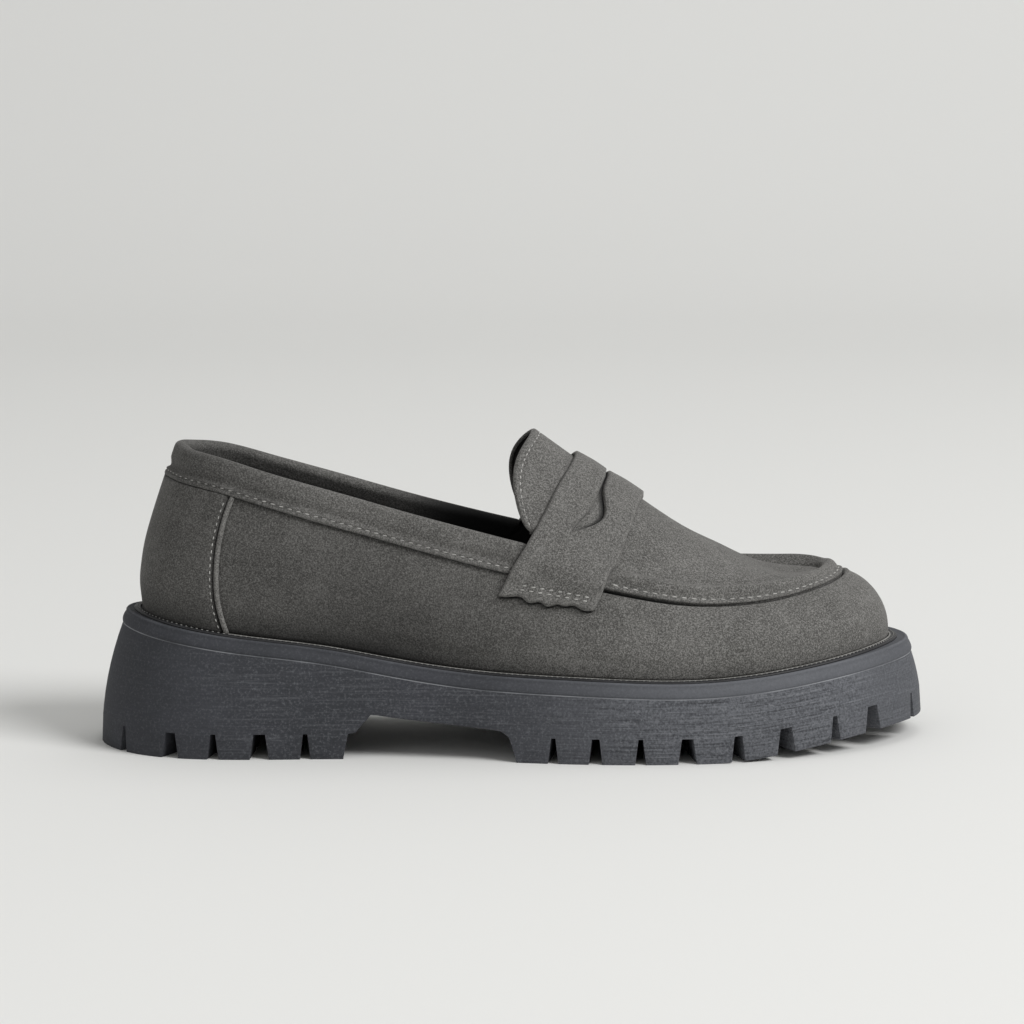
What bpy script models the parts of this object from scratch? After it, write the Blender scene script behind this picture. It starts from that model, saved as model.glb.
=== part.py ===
# Chunky lug sole loafer, right foot.
#
# The frame: +X points to the toe, +Y to the inner (medial) side, +Z up. The origin is at the
# middle of the shoe's bounding box, on the floor. Sizes are in millimetres in the tables and
# constants, and MM turns them into metres where vertices are made.
#
# The upper is one surface. A spine is a line up the upper from its foot on the sole to the
# collar or to the middle of the vamp. place u runs round the shoe, from 0 at the back of the
# heel along the outer side to 0.5 at the tip of the toe and back along the inner side to 1.
# level v runs up a spine: 0 foot, 1 bulge, 2 side, 3 seam, 4 edge, 5 crown. The seam is the
# foot of the collar band at the back and the rim of the apron at the front. The edge is the
# topline at the back. The crown is the middle of the vamp, where both sides meet.

import math

import bmesh
import bpy
import numpy as np

MM = 0.001

# Driving sizes
MIDDLE_STATION = 140.1
MIDDLE_ACROSS = 1.24
GAP = 0.3
UPPER_WALL = 1.8
APRON_WALL = 1.6
APRON_BEAD = 2.0
TONGUE_WALL = 1.7
STRAP_WALL = 1.8
CUFF_WALL = 1.7
CUFF_GAP = 0.4
CUFF_INNER_DEPTH = 8.0
CUFF_FOOT_LEVEL = 3.02
CUFF_MIDDLE_LEVEL = 3.5
CUFF_FOOT_SHARE = 0.9
CUFF_SHOULDER_OUT = 0.72
CUFF_SHOULDER_UP = 0.62
CUFF_TOP = 0.86
RIM_BELOW_LEVEL = 3.85
COUNTER_WALL = 1.0
PIPING_RISE = 0.9
PIPING_WIDTH = 1.8
CORD_MARGIN = 0.3
INSOLE_THICK = 3.0
INSOLE_INSET = 2.8
WELT_INNER = 0.7
WELT_OUTER = 2.9
WELT_THICK = 1.2
WELT_SIDE_SHARE = 0.75
WELT_ROUND = 0.6

# Sole
LEDGE_WIDTH = 5.2
LEDGE_HEEL_EXTRA = 0.5
LEDGE_TOE_EXTRA = 1.6
END_REACH = 0.09
LEDGE_DROP = 0.9
BAND_HEIGHT = 3.4
BAND_OUT = 1.3
GROOVE_DEPTH = 0.6
GROOVE_DROP = 0.7
LUG_HEIGHT = 8.4
LUG_RING = 17.0
LUG_CHANNEL = 4.0
TOE_SPRING = 6.8
TOE_SPRING_START = 200.0
TOE_SPRING_RUN = 75.0
HEEL_FLARE = 7.6
SIDE_FLARE = 2.9
TOE_FLARE = 3.6
HEEL_FLARE_REACH = 0.13
WIDE_GAP = (5.9, 3.6)
MIDDLE_GAP = (4.3, 2.4)
NARROW_GAP = (3.4, 1.4)
END_GAP = (2.3, 0.9)
LUG_TAPER = 1.2
HEEL_LUG_TAPER = 1.6
FRONT_LUG_TAPER = 3.0
BAR_START = 20.0
BAR_END = 262.0
BED_EDGE = 3.0
WELT_SEAT = 0.6
LEDGE_ROUND_IN = 0.9
LEDGE_ROUND_DOWN = 0.2
WALL_MIDDLE = 0.45

# The foot line, where the upper stands on the sole: a row for each spine from heel to toe.
# station is measured from the back of the sole, outer and inner are the two sides.
FOOT = (
    # station, outer, inner, height
    (14.2, 0.0, 0.0, 45.3),
    (17.4, -11.6, 11.4, 44.7),
    (26.0, -21.6, 21.2, 43.0),
    (40.0, -27.2, 26.6, 40.6),
    (58.0, -29.6, 28.8, 38.4),
    (77.5, -29.9, 28.8, 35.8),
    (95.5, -30.6, 28.5, 32.5),
    (111.0, -32.2, 29.4, 30.0),
    (125.5, -34.6, 31.8, 28.4),
    (142.0, -38.2, 36.0, 27.5),
    (158.0, -41.2, 40.2, 27.0),
    (177.5, -43.2, 43.8, 26.3),
    (197.0, -42.8, 45.6, 26.0),
    (217.0, -39.6, 45.4, 27.1),
    (235.0, -32.6, 42.6, 29.0),
    (250.0, -22.8, 37.2, 30.8),
    (262.6, -8.6, 27.4, 32.2),
    (268.9, 9.4, 9.4, 32.6),
)

# How the wall of the upper rises over its foot, a row for each spine. Each pair is the
# distance outward from the foot and the height. lean is how far a spine has moved to the
# toe at LEAN_RISE above its foot.
WALL = (
    # bulge out and up, side out and up, seam out and up, edge out and up, lean
    (-0.1, 57.0, -3.9, 74.0, -8.8, 89.0, -12.6, 99.8, 0.0),
    (0.2, 56.8, -3.6, 73.8, -8.4, 88.9, -12.2, 99.6, 0.0),
    (0.8, 56.0, -2.2, 73.0, -6.2, 88.2, -9.4, 98.6, 0.0),
    (1.4, 54.0, -0.4, 71.0, -3.0, 86.2, -5.4, 96.8, 0.0),
    (2.0, 50.0, 1.0, 66.5, -1.7, 82.0, -3.8, 91.8, 0.0),
    (2.2, 46.5, 1.7, 61.5, -0.9, 76.4, -3.0, 85.3, 5.0),
    (2.1, 42.5, 1.9, 56.5, -0.6, 70.3, -2.8, 78.6, 14.0),
    (1.9, 39.5, 1.6, 52.0, -0.7, 65.2, -3.2, 73.2, 24.0),
    (1.7, 37.5, 1.0, 49.0, -1.2, 61.2, -4.4, 68.8, 33.0),
    (1.5, 36.5, 0.2, 47.5, -3.0, 58.8, -8.0, 65.4, 33.5),
    (1.3, 35.5, -0.6, 46.0, -5.0, 56.0, -11.6, 61.6, 34.0),
    (1.2, 34.5, -1.5, 43.8, -7.4, 52.4, -14.6, 57.2, 34.0),
    (1.2, 34.0, -2.0, 42.6, -9.3, 50.3, -17.0, 54.8, 24.0),
    (1.0, 34.8, -2.3, 42.9, -10.4, 50.1, -18.2, 54.2, 10.0),
    (0.6, 36.0, -2.8, 44.0, -11.8, 50.8, -19.4, 54.0, 0.0),
    (0.2, 37.4, -3.5, 45.8, -13.4, 52.4, -21.0, 54.3, 0.0),
    (-0.2, 38.4, -4.4, 47.5, -15.0, 54.0, -22.6, 54.8, 0.0),
    (-0.5, 39.2, -5.1, 48.6, -16.0, 55.3, -23.6, 55.1, 0.0),
)
LEAN_RISE = 65.0
LEAN_POWER = 1.5
FLANK_SHARE = 0.42
FLANK_RISE = 0.72
CLOSING_RUN = 12.0
PLAN_STEP = 0.4
FRAME_STEP = 0.3
LEVEL_STEP = 0.02

# The crown, the middle line of the vamp, for the spines from the strap to the toe.
CROWN = (
    # station, across, height
    (158.9, 0.6, 94.1),
    (170.6, 1.2, 87.4),
    (182.2, 2.0, 79.6),
    (196.6, 3.2, 69.9),
    (208.6, 4.4, 63.8),
    (217.0, 5.4, 59.6),
    (224.2, 6.4, 56.3),
    (229.8, 7.4, 54.5),
    (233.8, 8.4, 53.5),
    (236.0, 9.2, 53.2),
)
CROWN_SPINE = 8
STRAP_FRONT_SPINE = 10
COUNTER_SPINE = 3

# The tread: gaps between lugs along each side, measured from the back of the sole.
LUG_GAPS = (
    # station of the middle, widths at the foot and at the root
    (8.5, END_GAP),
    (24.6, MIDDLE_GAP),
    (38.9, NARROW_GAP),
    (54.3, WIDE_GAP),
    (69.5, NARROW_GAP),
    (151.0, NARROW_GAP),
    (164.9, MIDDLE_GAP),
    (179.7, NARROW_GAP),
    (195.2, WIDE_GAP),
    (212.2, MIDDLE_GAP),
    (228.5, WIDE_GAP),
    (245.8, NARROW_GAP),
    (259.6, WIDE_GAP),
    (275.3, END_GAP),
)
HEEL_LUG_END = 83.6
BREAST_START = 85.0
BREAST_END = 92.0
FRONT_LUG_RISE_START = 133.5
FRONT_LUG_START = 136.4
ARCH_CUTS = (86.0, 88.6, 92.0, 133.6)
ARCH_BACK_HEIGHT = 14.9
ARCH_FRONT_HEIGHT = 10.1
ARCH_POWER = 0.8
PLACE_STEPS = 40

# Strap, apron, tongue, counter and throat, in places along u and levels v
STRAP_LEVELS = (2.36, 2.62, 3.0, 3.4, 3.8, 4.05, 4.27, 4.4, 4.5, 4.6, 4.8, 5.0)
STRAP_SCALLOP = 0.07
STRAP_SCALLOP_WAVES = 2.5
STRAP_BOW = 4.4
STRAP_CLEARANCE = 0.45
STRAP_STEP_LOW = 2.55
STRAP_STEP_BACK = 3.9
STRAP_STEP_FRONT = 3.0
SLOT_BACK = 0.4
SLOT_FRONT = 0.65
SLOT_SLIT = 0.455
SLOT_LOW_LEVEL = 4.4
SLOT_BOW = 0.7
STRAP_EDGES = (0.0, 0.13, 0.27, SLOT_BACK, SLOT_FRONT, 0.76, 0.88, 1.0)
APRON_TUCK = 5.0
APRON_LEVELS = (3.0, 3.25, 3.5, 3.75, 4.0, 4.5, 5.0)
APRON_BEAD_LEVELS = (3.0, 4.0)
APRON_BEAD_RUN = 4.0
TONGUE_LENGTH = 16.9
TONGUE_PITCH = math.radians(36.0)
TONGUE_LEVELS = (4.12, 4.17, 4.25, 4.37, 4.5, 4.62, 4.78, 5.0)
TONGUE_SHARES = (1.0, 0.92, 0.8, 0.6, 0.35, 0.0)
TONGUE_ROUND = 1.5
THROAT_SHARE = 0.4
COUNTER_FOOT_LEVEL = 0.14
COUNTER_TOP_LEVEL = 2.93
COUNTER_ROWS = 7
COUNTER_CURVE = 4.6
COUNTER_AHEAD = 4.0
COUNTER_BOW_LEVEL = 1.35
COUNTER_BOW_SPAN = 1.6
COUNTER_BOW_REST = 0.4
UPPER_LEVELS = (0.0, 0.5, 1.0, 1.5, 2.0, 2.5, 3.0)
UPPER_TOP_SHARES = (0.25, 0.5, 0.75, 1.0)
COLUMN_PITCH = 8.0
TREAD_PITCH = 6.5
CROWN_END_STEP = 6.0
SHARP_ANGLE = math.radians(40.0)

# Colour and roughness of each piece
LOOKS = {
    "outsole": ((0.022, 0.024, 0.028), 0.6),
    "welt": ((0.030, 0.031, 0.033), 0.5),
    "insole": ((0.012, 0.012, 0.013), 0.9),
    "upper": ((0.075, 0.073, 0.070), 0.85),
    "apron": ((0.078, 0.076, 0.072), 0.85),
    "saddle_strap": ((0.080, 0.078, 0.074), 0.8),
    "tongue": ((0.078, 0.076, 0.072), 0.85),
    "collar_band": ((0.072, 0.070, 0.067), 0.85),
    "heel_counter": ((0.070, 0.068, 0.065), 0.85),
}


def spline(knots, values):
    """Natural cubic curve through values at the given knots."""
    knots = np.asarray(knots, float)
    values = np.asarray(values, float)
    count = len(knots)
    steps = np.diff(knots)
    matrix = np.eye(count)
    right = np.zeros_like(values)
    for i in range(1, count - 1):
        matrix[i, i - 1] = steps[i - 1]
        matrix[i, i] = 2.0 * (steps[i - 1] + steps[i])
        matrix[i, i + 1] = steps[i]
        rise = (values[i + 1] - values[i]) / steps[i] - (values[i] - values[i - 1]) / steps[i - 1]
        right[i] = 6.0 * rise
    bend = np.linalg.solve(matrix, right)

    def at(place):
        i = min(max(int(np.searchsorted(knots, place)) - 1, 0), count - 2)
        step = steps[i]
        a = (knots[i + 1] - place) / step
        b = 1.0 - a
        cubic = (a ** 3 - a) * bend[i] + (b ** 3 - b) * bend[i + 1]
        return a * values[i] + b * values[i + 1] + cubic * step * step / 6.0

    return at


def smooth_step(value, low, high):
    share = min(max((value - low) / (high - low), 0.0), 1.0)
    return share * share * (3.0 - 2.0 * share)


def spine_places():
    """The place u of each spine, from the mean length of both sides along the foot."""
    run = [0.0]
    for back, front in zip(FOOT, FOOT[1:]):
        outer = math.hypot(front[0] - back[0], front[1] - back[1])
        inner = math.hypot(front[0] - back[0], front[2] - back[2])
        run.append(run[-1] + 0.5 * (outer + inner))
    return [0.5 * length / run[-1] for length in run], run[-1]


SPINES, HALF_RUN = spine_places()
U_PER_MM = 0.5 / HALF_RUN
U_STRAP_BACK = SPINES[CROWN_SPINE]
U_STRAP_FRONT = SPINES[STRAP_FRONT_SPINE]


def closed_curve(rows_outer, rows_inner):
    """A smooth closed curve round the shoe through one row for each spine and side."""
    places = list(SPINES) + [1.0 - u for u in reversed(SPINES[1:-1])]
    rows = list(rows_outer) + list(reversed(rows_inner[1:-1]))
    knots = [place + turn for turn in (-1.0, 0.0, 1.0) for place in places]
    return spline(knots, np.array(rows * 3))


foot_curve = closed_curve([(s, outer, z) for s, outer, inner, z in FOOT],
                          [(s, inner, z) for s, outer, inner, z in FOOT])


def plan_outward(u):
    """Unit vector in plan that points out of the shoe at the foot line."""
    step = PLAN_STEP * U_PER_MM
    along = foot_curve(u + step) - foot_curve(u - step)
    size = math.hypot(along[0], along[1])
    return np.array([along[1] / size, -along[0] / size, 0.0])


def wall_rows(pair, inner_side):
    """Positions of one level of the wall at every spine of one side."""
    rows = []
    for i, row in enumerate(WALL):
        u = SPINES[i]
        if inner_side:
            u = 1.0 - u
        out, height, lean = row[2 * pair], row[2 * pair + 1], row[-1]
        point = foot_curve(u) + plan_outward(u) * out
        point[0] += lean * ((height - point[2]) / LEAN_RISE) ** LEAN_POWER
        point[2] = height
        rows.append(tuple(point))
    return rows


LEVEL_CURVES = [foot_curve] + [closed_curve(wall_rows(pair, False), wall_rows(pair, True))
                               for pair in range(4)]
crown_places = SPINES[CROWN_SPINE:]
crown_places = crown_places + [1.0 - u for u in reversed(crown_places[:-1])]
crown_curve = spline(crown_places, list(CROWN) + list(reversed(CROWN[:-1])))


def through(points):
    """A smooth curve through points, and its knots by length."""
    points = np.array(points)
    knots = np.concatenate(([0.0], np.cumsum(np.linalg.norm(np.diff(points, axis=0), axis=1))))
    return spline(knots, points), knots


COLUMN_CACHE = {}
FRONT_LEVELS = (0.0, 1.0, 2.0, 3.0, 4.0, 4.5, 5.0)


def flank_point(edge, crown):
    """Point between edge and crown that makes the vamp a round arch."""
    point = edge + FLANK_SHARE * (crown - edge)
    point[2] = edge[2] + FLANK_RISE * (crown[2] - edge[2])
    return point


def column(u):
    """The spine at place u: functions from level to point, back form and closed form."""
    key = round(u, 7)
    if key not in COLUMN_CACHE:
        mirror = 1.0 - u
        near = [curve(u) for curve in LEVEL_CURVES]
        back = through(near)
        front = None
        if U_STRAP_BACK - 1e-6 <= min(u, mirror):
            far = [curve(mirror) for curve in reversed(LEVEL_CURVES)]
            crown = crown_curve(u)
            top = [flank_point(near[-1], crown), crown, flank_point(far[0], crown)]
            front = through(near + top + far)
        COLUMN_CACHE[key] = (back, front)
    return COLUMN_CACHE[key]


def half_place(u):
    """The place on the outer side that u has or mirrors."""
    return min(u % 1.0, 1.0 - u % 1.0)


def base_point(u, v, closed=None):
    """Point of the upper's outer surface. closed is the weight of the form with a crown."""
    back, front = column(u % 1.0)
    if closed is None:
        run_end = U_STRAP_BACK + CLOSING_RUN * U_PER_MM
        closed = smooth_step(half_place(u), U_STRAP_BACK, run_end) if v <= 4.0 else 1.0
    point = np.zeros(3)
    for form, weight in ((back, 1.0 - closed), (front, closed)):
        if weight > 0.0:
            curve, knots = form
            known = min(len(knots), len(FRONT_LEVELS))
            point += weight * curve(np.interp(v, FRONT_LEVELS[:known], knots[:known]))
    return point


def base_frame(u, v):
    """Point and outward normal of the upper's outer surface."""
    du = FRAME_STEP * U_PER_MM
    dv = LEVEL_STEP
    low_u, high_u = u - du, u + du
    over_edge = v > 4.0
    if over_edge and half_place(low_u) < U_STRAP_BACK:
        low_u = u
    if over_edge and half_place(high_u) < U_STRAP_BACK:
        high_u = u
    closed = 1.0 if over_edge else None
    if v >= 5.0 - 1e-9:
        near = min(half_place(u), 0.5 - CROWN_END_STEP * U_PER_MM)
        along = base_point(max(near + du, U_STRAP_BACK), 5.0) - base_point(
            max(near - du, U_STRAP_BACK), 5.0)
        up = base_point(1.0 - near, 5.0 - dv, 1.0) - base_point(near, 5.0 - dv, 1.0)
    else:
        top = 5.0 if over_edge else 4.0
        along = base_point(high_u, v, closed) - base_point(low_u, v, closed)
        up = base_point(u, min(v + dv, top), closed) - base_point(u, max(v - dv, 0.0), closed)
    normal = np.cross(along, up)
    return base_point(u, v, closed), normal / np.linalg.norm(normal)


def to_scene(point):
    """Shoe millimetres, measured from the back of the sole, to metres about the origin."""
    return ((point[0] - MIDDLE_STATION) * MM, (point[1] - MIDDLE_ACROSS) * MM, point[2] * MM)


def shoe_columns(start, end, pitch=COLUMN_PITCH):
    """Places between two spines, evenly spaced between neighbours."""
    places = []
    for low, high in zip(SPINES[start:end], SPINES[start + 1:end + 1]):
        parts = max(1, math.ceil((high - low) / U_PER_MM / pitch - 0.3))
        places += [low + (high - low) * k / parts for k in range(parts)]
    return places + [SPINES[end]]


def add_object(name, bm):
    """Makes the object of a finished mesh with its own material."""
    bmesh.ops.recalc_face_normals(bm, faces=bm.faces)
    mesh = bpy.data.meshes.new(name)
    bm.to_mesh(mesh)
    bm.free()
    mesh.shade_smooth()
    mesh.set_sharp_from_angle(angle=SHARP_ANGLE)
    colour, roughness = LOOKS[name]
    material = bpy.data.materials.new(name)
    material.use_nodes = True
    shader = material.node_tree.nodes["Principled BSDF"]
    shader.inputs["Base Color"].default_value = (*colour, 1.0)
    shader.inputs["Roughness"].default_value = roughness
    shader.inputs["Metallic"].default_value = 0.0
    mesh.materials.append(material)
    obj = bpy.data.objects.new(name, mesh)
    bpy.context.scene.collection.objects.link(obj)


def sheet(cells, frame_at, outer, inner):
    """A closed sheet over cells of (u, v) corners on the outer side, mirrored to the inner.

    frame_at gives point and normal, outer and inner give the heights of both faces above it.
    """
    bm = bmesh.new()
    made = {}

    def corner(u, v, side):
        shared = v > 5.0 - 1e-6 or abs(u) < 1e-9 or abs(u - 0.5) < 1e-9
        key = (round(u, 7), round(v, 5), 0 if shared else side)
        if key not in made:
            place = u if side < 0 or shared else 1.0 - u
            point, normal = frame_at(place, v)
            made[key] = (bm.verts.new(to_scene(point + normal * outer(u, v))),
                         bm.verts.new(to_scene(point + normal * inner(u, v))))
        return made[key]

    edges = {}
    for cell in cells:
        for side in (-1, 1):
            pairs = [corner(u, v, side) for u, v in cell]
            unique = [pair for k, pair in enumerate(pairs) if pair is not pairs[k - 1]]
            if side > 0:
                unique.reverse()
            first = 0 if side < 0 or len(unique) < 4 else 1
            for k in range(2, len(unique)):
                corners = [unique[first], unique[(first + k - 1) % len(unique)],
                           unique[(first + k) % len(unique)]]
                bm.faces.new([pair[0] for pair in corners])
                bm.faces.new([pair[1] for pair in reversed(corners)])
            for k, pair in enumerate(unique):
                edges[(unique[k - 1][0], pair[0])] = (unique[k - 1], pair)
    for (start, end), (first, second) in edges.items():
        if (end, start) not in edges:
            bm.faces.new((second[0], first[0], first[1], second[1]))
    return bm


def grid_cells(columns, levels_at):
    """Cells between neighbouring columns, where levels_at gives the levels of a column."""
    cells = []
    for low, high in zip(columns, columns[1:]):
        low_levels, high_levels = levels_at(low), levels_at(high)
        for j in range(len(low_levels) - 1):
            cells.append(((low, low_levels[j]), (high, high_levels[j]),
                          (high, high_levels[j + 1]), (low, low_levels[j + 1])))
    return cells


def sweep(sections):
    """A closed bar through sections of equal count, with its ends filled."""
    bm = bmesh.new()
    loops = [[bm.verts.new(to_scene(point)) for point in section] for section in sections]
    for low, high in zip(loops, loops[1:]):
        for k in range(len(low)):
            bm.faces.new((low[k - 1], low[k], high[k], high[k - 1]))
    bm.faces.new(reversed(loops[0]))
    bm.faces.new(loops[-1])
    return bm


def ring_sweep(sections):
    """A closed ring through sections of equal count."""
    bm = bmesh.new()
    loops = [[bm.verts.new(to_scene(point)) for point in section] for section in sections]
    for i, low in enumerate(loops):
        high = loops[(i + 1) % len(loops)]
        for k in range(len(low)):
            bm.faces.new((low[k - 1], low[k], high[k], high[k - 1]))
    return bm


def throat_level(u):
    """The top of the upper: the topline, then the throat under the strap up to the crown."""
    end = U_STRAP_BACK + THROAT_SHARE * (U_STRAP_FRONT - U_STRAP_BACK)
    return 4.0 + smooth_step(u, U_STRAP_BACK, end)


def make_upper():
    columns = shoe_columns(0, len(SPINES) - 1)

    def levels_at(u):
        seam = UPPER_LEVELS[-1]
        rise = throat_level(u) - seam
        return list(UPPER_LEVELS) + [seam + rise * share for share in UPPER_TOP_SHARES]

    bm = sheet(grid_cells(columns, levels_at), base_frame,
               lambda u, v: 0.0, lambda u, v: -UPPER_WALL)
    add_object("upper", bm)


def apron_lift(u, v):
    """Height of the apron's face: the rolled rim stands over the plate inside it."""
    low, high = APRON_BEAD_LEVELS
    share = min(max((v - low) / (high - low), 0.0), 1.0)
    grow = smooth_step(u, U_STRAP_FRONT, U_STRAP_FRONT + APRON_BEAD_RUN * U_PER_MM)
    return GAP + APRON_WALL + grow * APRON_BEAD * math.sin(math.pi * share) ** 2


def make_apron():
    start = U_STRAP_FRONT - APRON_TUCK * U_PER_MM
    columns = [start] + shoe_columns(STRAP_FRONT_SPINE, len(SPINES) - 1)
    bm = sheet(grid_cells(columns, lambda u: APRON_LEVELS), base_frame, apron_lift,
               lambda u, v: GAP)
    add_object("apron", bm)


def tongue_frame(u, v):
    """Under the strap the tongue follows the vamp, and behind it runs straight on."""
    half = min(u, 1.0 - u)
    if half >= U_STRAP_BACK:
        return base_frame(u, v)
    root = U_STRAP_BACK if u < 0.5 else 1.0 - U_STRAP_BACK
    point, normal = base_frame(root, v)
    run = (U_STRAP_BACK - half) / U_PER_MM
    ahead = np.array([-math.cos(TONGUE_PITCH), 0.0, math.sin(TONGUE_PITCH)])
    return point + ahead * run, normal


def make_tongue():
    front = U_STRAP_FRONT - (APRON_TUCK + 2.0 * GAP) * U_PER_MM
    width = U_STRAP_FRONT - U_STRAP_BACK
    under = [U_STRAP_BACK + width * share for share in STRAP_EDGES if share < SLOT_FRONT]
    rows = []
    for level in TONGUE_LEVELS:
        across = (5.0 - level) / (5.0 - TONGUE_LEVELS[0])
        reach = TONGUE_LENGTH * math.sqrt(max(1.0 - across ** TONGUE_ROUND, 0.0))
        behind = [U_STRAP_BACK - reach * share * U_PER_MM for share in TONGUE_SHARES]
        rows.append(behind + under[1:] + [0.5 * (under[-1] + front), front])
    cells = []
    for j in range(len(rows) - 1):
        low, high = rows[j], rows[j + 1]
        below, above = TONGUE_LEVELS[j], TONGUE_LEVELS[j + 1]
        for k in range(len(low) - 1):
            corners = [(low[k], below), (low[k + 1], below), (high[k + 1], above),
                       (high[k], above)]
            kept = [c for i, c in enumerate(corners) if abs(c[0] - corners[i - 1][0]) > 1e-9
                    or abs(c[1] - corners[i - 1][1]) > 1e-9]
            if len(kept) > 2:
                cells.append(tuple(kept))
    bm = sheet(cells, tongue_frame, lambda u, v: GAP + TONGUE_WALL, lambda u, v: GAP)
    add_object("tongue", bm)


def strap_seat(u, v):
    """Height of the strap's underside: on the wall at its ends, over the apron above."""
    raised = GAP + max(APRON_WALL, TONGUE_WALL) + STRAP_CLEARANCE
    over_apron = smooth_step(u, U_STRAP_BACK, U_STRAP_FRONT - (APRON_TUCK + 1.0) * U_PER_MM)
    step_end = STRAP_STEP_BACK + (STRAP_STEP_FRONT - STRAP_STEP_BACK) * over_apron
    return GAP + (raised - GAP) * smooth_step(v, STRAP_STEP_LOW, step_end)


def slot_front(v):
    """Front edge of the slot as a share of the strap's width."""
    share = min(max((5.0 - v) / (5.0 - SLOT_LOW_LEVEL), 0.0), 1.0)
    return SLOT_SLIT + (SLOT_FRONT - SLOT_SLIT) * math.sin(0.5 * math.pi * share) ** SLOT_BOW


def make_strap():
    width = U_STRAP_FRONT - U_STRAP_BACK
    slot = STRAP_EDGES.index(SLOT_BACK)

    def corner(k, j):
        share, level = STRAP_EDGES[k], STRAP_LEVELS[j]
        if k == slot + 1:
            share = slot_front(level)
        if j == 0:
            level += STRAP_SCALLOP * math.cos(2.0 * math.pi * STRAP_SCALLOP_WAVES * share)
        bow = math.sin(math.pi * max(level - 4.0, 0.0)) * max(1.0 - share / SLOT_BACK, 0.0)
        return U_STRAP_BACK + width * share + STRAP_BOW * bow * U_PER_MM, level

    cells = []
    for j in range(len(STRAP_LEVELS) - 1):
        for k in range(len(STRAP_EDGES) - 1):
            in_slot = k == slot and STRAP_LEVELS[j] >= SLOT_LOW_LEVEL - 1e-6
            if not in_slot:
                cells.append((corner(k, j), corner(k + 1, j), corner(k + 1, j + 1),
                              corner(k, j + 1)))
    bm = sheet(cells, base_frame, lambda u, v: strap_seat(u, v) + STRAP_WALL, strap_seat)
    add_object("saddle_strap", bm)


def make_counter():
    """The panel round the heel, with a corded front edge that bows to the back."""
    columns = shoe_columns(0, COUNTER_SPINE)
    cord = PIPING_WIDTH * U_PER_MM
    levels = np.linspace(COUNTER_FOOT_LEVEL, COUNTER_TOP_LEVEL, COUNTER_ROWS + 1).tolist()

    def edge_at(level):
        bow = 1.0 - ((level - COUNTER_BOW_LEVEL) / COUNTER_BOW_SPAN) ** 2
        ahead = COUNTER_AHEAD + COUNTER_CURVE * (COUNTER_BOW_REST - bow)
        return columns[-1] + ahead * U_PER_MM

    def row(level):
        edge = edge_at(level)
        last = min(columns[-1], edge - (1.0 + CORD_MARGIN) * cord)
        return columns[:-1] + [last, edge - cord, edge - 0.5 * cord, edge]

    def lift(u, v):
        rise = PIPING_RISE if abs(u - (edge_at(v) - 0.5 * cord)) < 0.3 * cord else 0.0
        return GAP + COUNTER_WALL + rise

    cells = []
    for low, high in zip(levels, levels[1:]):
        below, above = row(low), row(high)
        cells += [((below[k], low), (below[k + 1], low), (above[k + 1], high), (above[k], high))
                  for k in range(len(below) - 1)]
    bm = sheet(cells, base_frame, lift, lambda u, v: GAP)
    add_object("heel_counter", bm)


def make_collar_band():
    """The padded band over the topline, a hook in section, from strap to strap."""
    columns = shoe_columns(0, CROWN_SPINE)[:-1] + [U_STRAP_BACK - 3.0 * GAP * U_PER_MM]
    places = [1.0 - u for u in reversed(columns[1:])] + columns
    sections = []
    for u in places:
        rim, out = base_frame(u, 4.0)
        below = base_point(u, RIM_BELOW_LEVEL)
        up = (rim - below) / np.linalg.norm(rim - below)
        seam, seam_out = base_frame(u, CUFF_FOOT_LEVEL)
        mid, mid_out = base_frame(u, CUFF_MIDDLE_LEVEL)
        inside = -UPPER_WALL - CUFF_GAP
        centre = rim - out * 0.5 * UPPER_WALL
        reach = 0.5 * UPPER_WALL + CUFF_GAP + CUFF_WALL
        depth = up * CUFF_INNER_DEPTH
        section = [
            seam + seam_out * CUFF_GAP,
            seam + seam_out * (CUFF_GAP + CUFF_FOOT_SHARE * CUFF_WALL),
            mid + mid_out * (CUFF_GAP + CUFF_WALL),
            centre + out * reach,
            centre + (out * CUFF_SHOULDER_OUT + up * CUFF_SHOULDER_UP) * reach,
            centre + up * CUFF_TOP * reach,
            centre + (up * CUFF_SHOULDER_UP - out * CUFF_SHOULDER_OUT) * reach,
            centre - out * reach,
            rim + out * (inside - CUFF_WALL) - depth,
            rim + out * inside - depth,
            rim + out * inside,
            centre - out * (0.5 * UPPER_WALL + CUFF_GAP) + up * CUFF_GAP,
            centre + out * (0.5 * UPPER_WALL + CUFF_GAP) + up * CUFF_GAP,
            mid + mid_out * CUFF_GAP,
        ]
        sections.append(section)
    add_object("collar_band", sweep(sections))


def bed_point(u, out, rise):
    """Point over the foot line, moved outward and up."""
    point = foot_curve(u) + plan_outward(u) * out
    point[2] += rise
    return point


def make_welt():
    columns = shoe_columns(0, len(SPINES) - 1)
    places = columns + [1.0 - u for u in reversed(columns[1:-1])]
    sections = []
    for u in places:
        sections.append([bed_point(u, WELT_INNER, 0.0), bed_point(u, WELT_OUTER, 0.0),
                         bed_point(u, WELT_OUTER, WELT_SIDE_SHARE * WELT_THICK),
                         bed_point(u, WELT_OUTER - WELT_ROUND, WELT_THICK),
                         bed_point(u, WELT_INNER, WELT_THICK)])
    add_object("welt", ring_sweep(sections))


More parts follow.
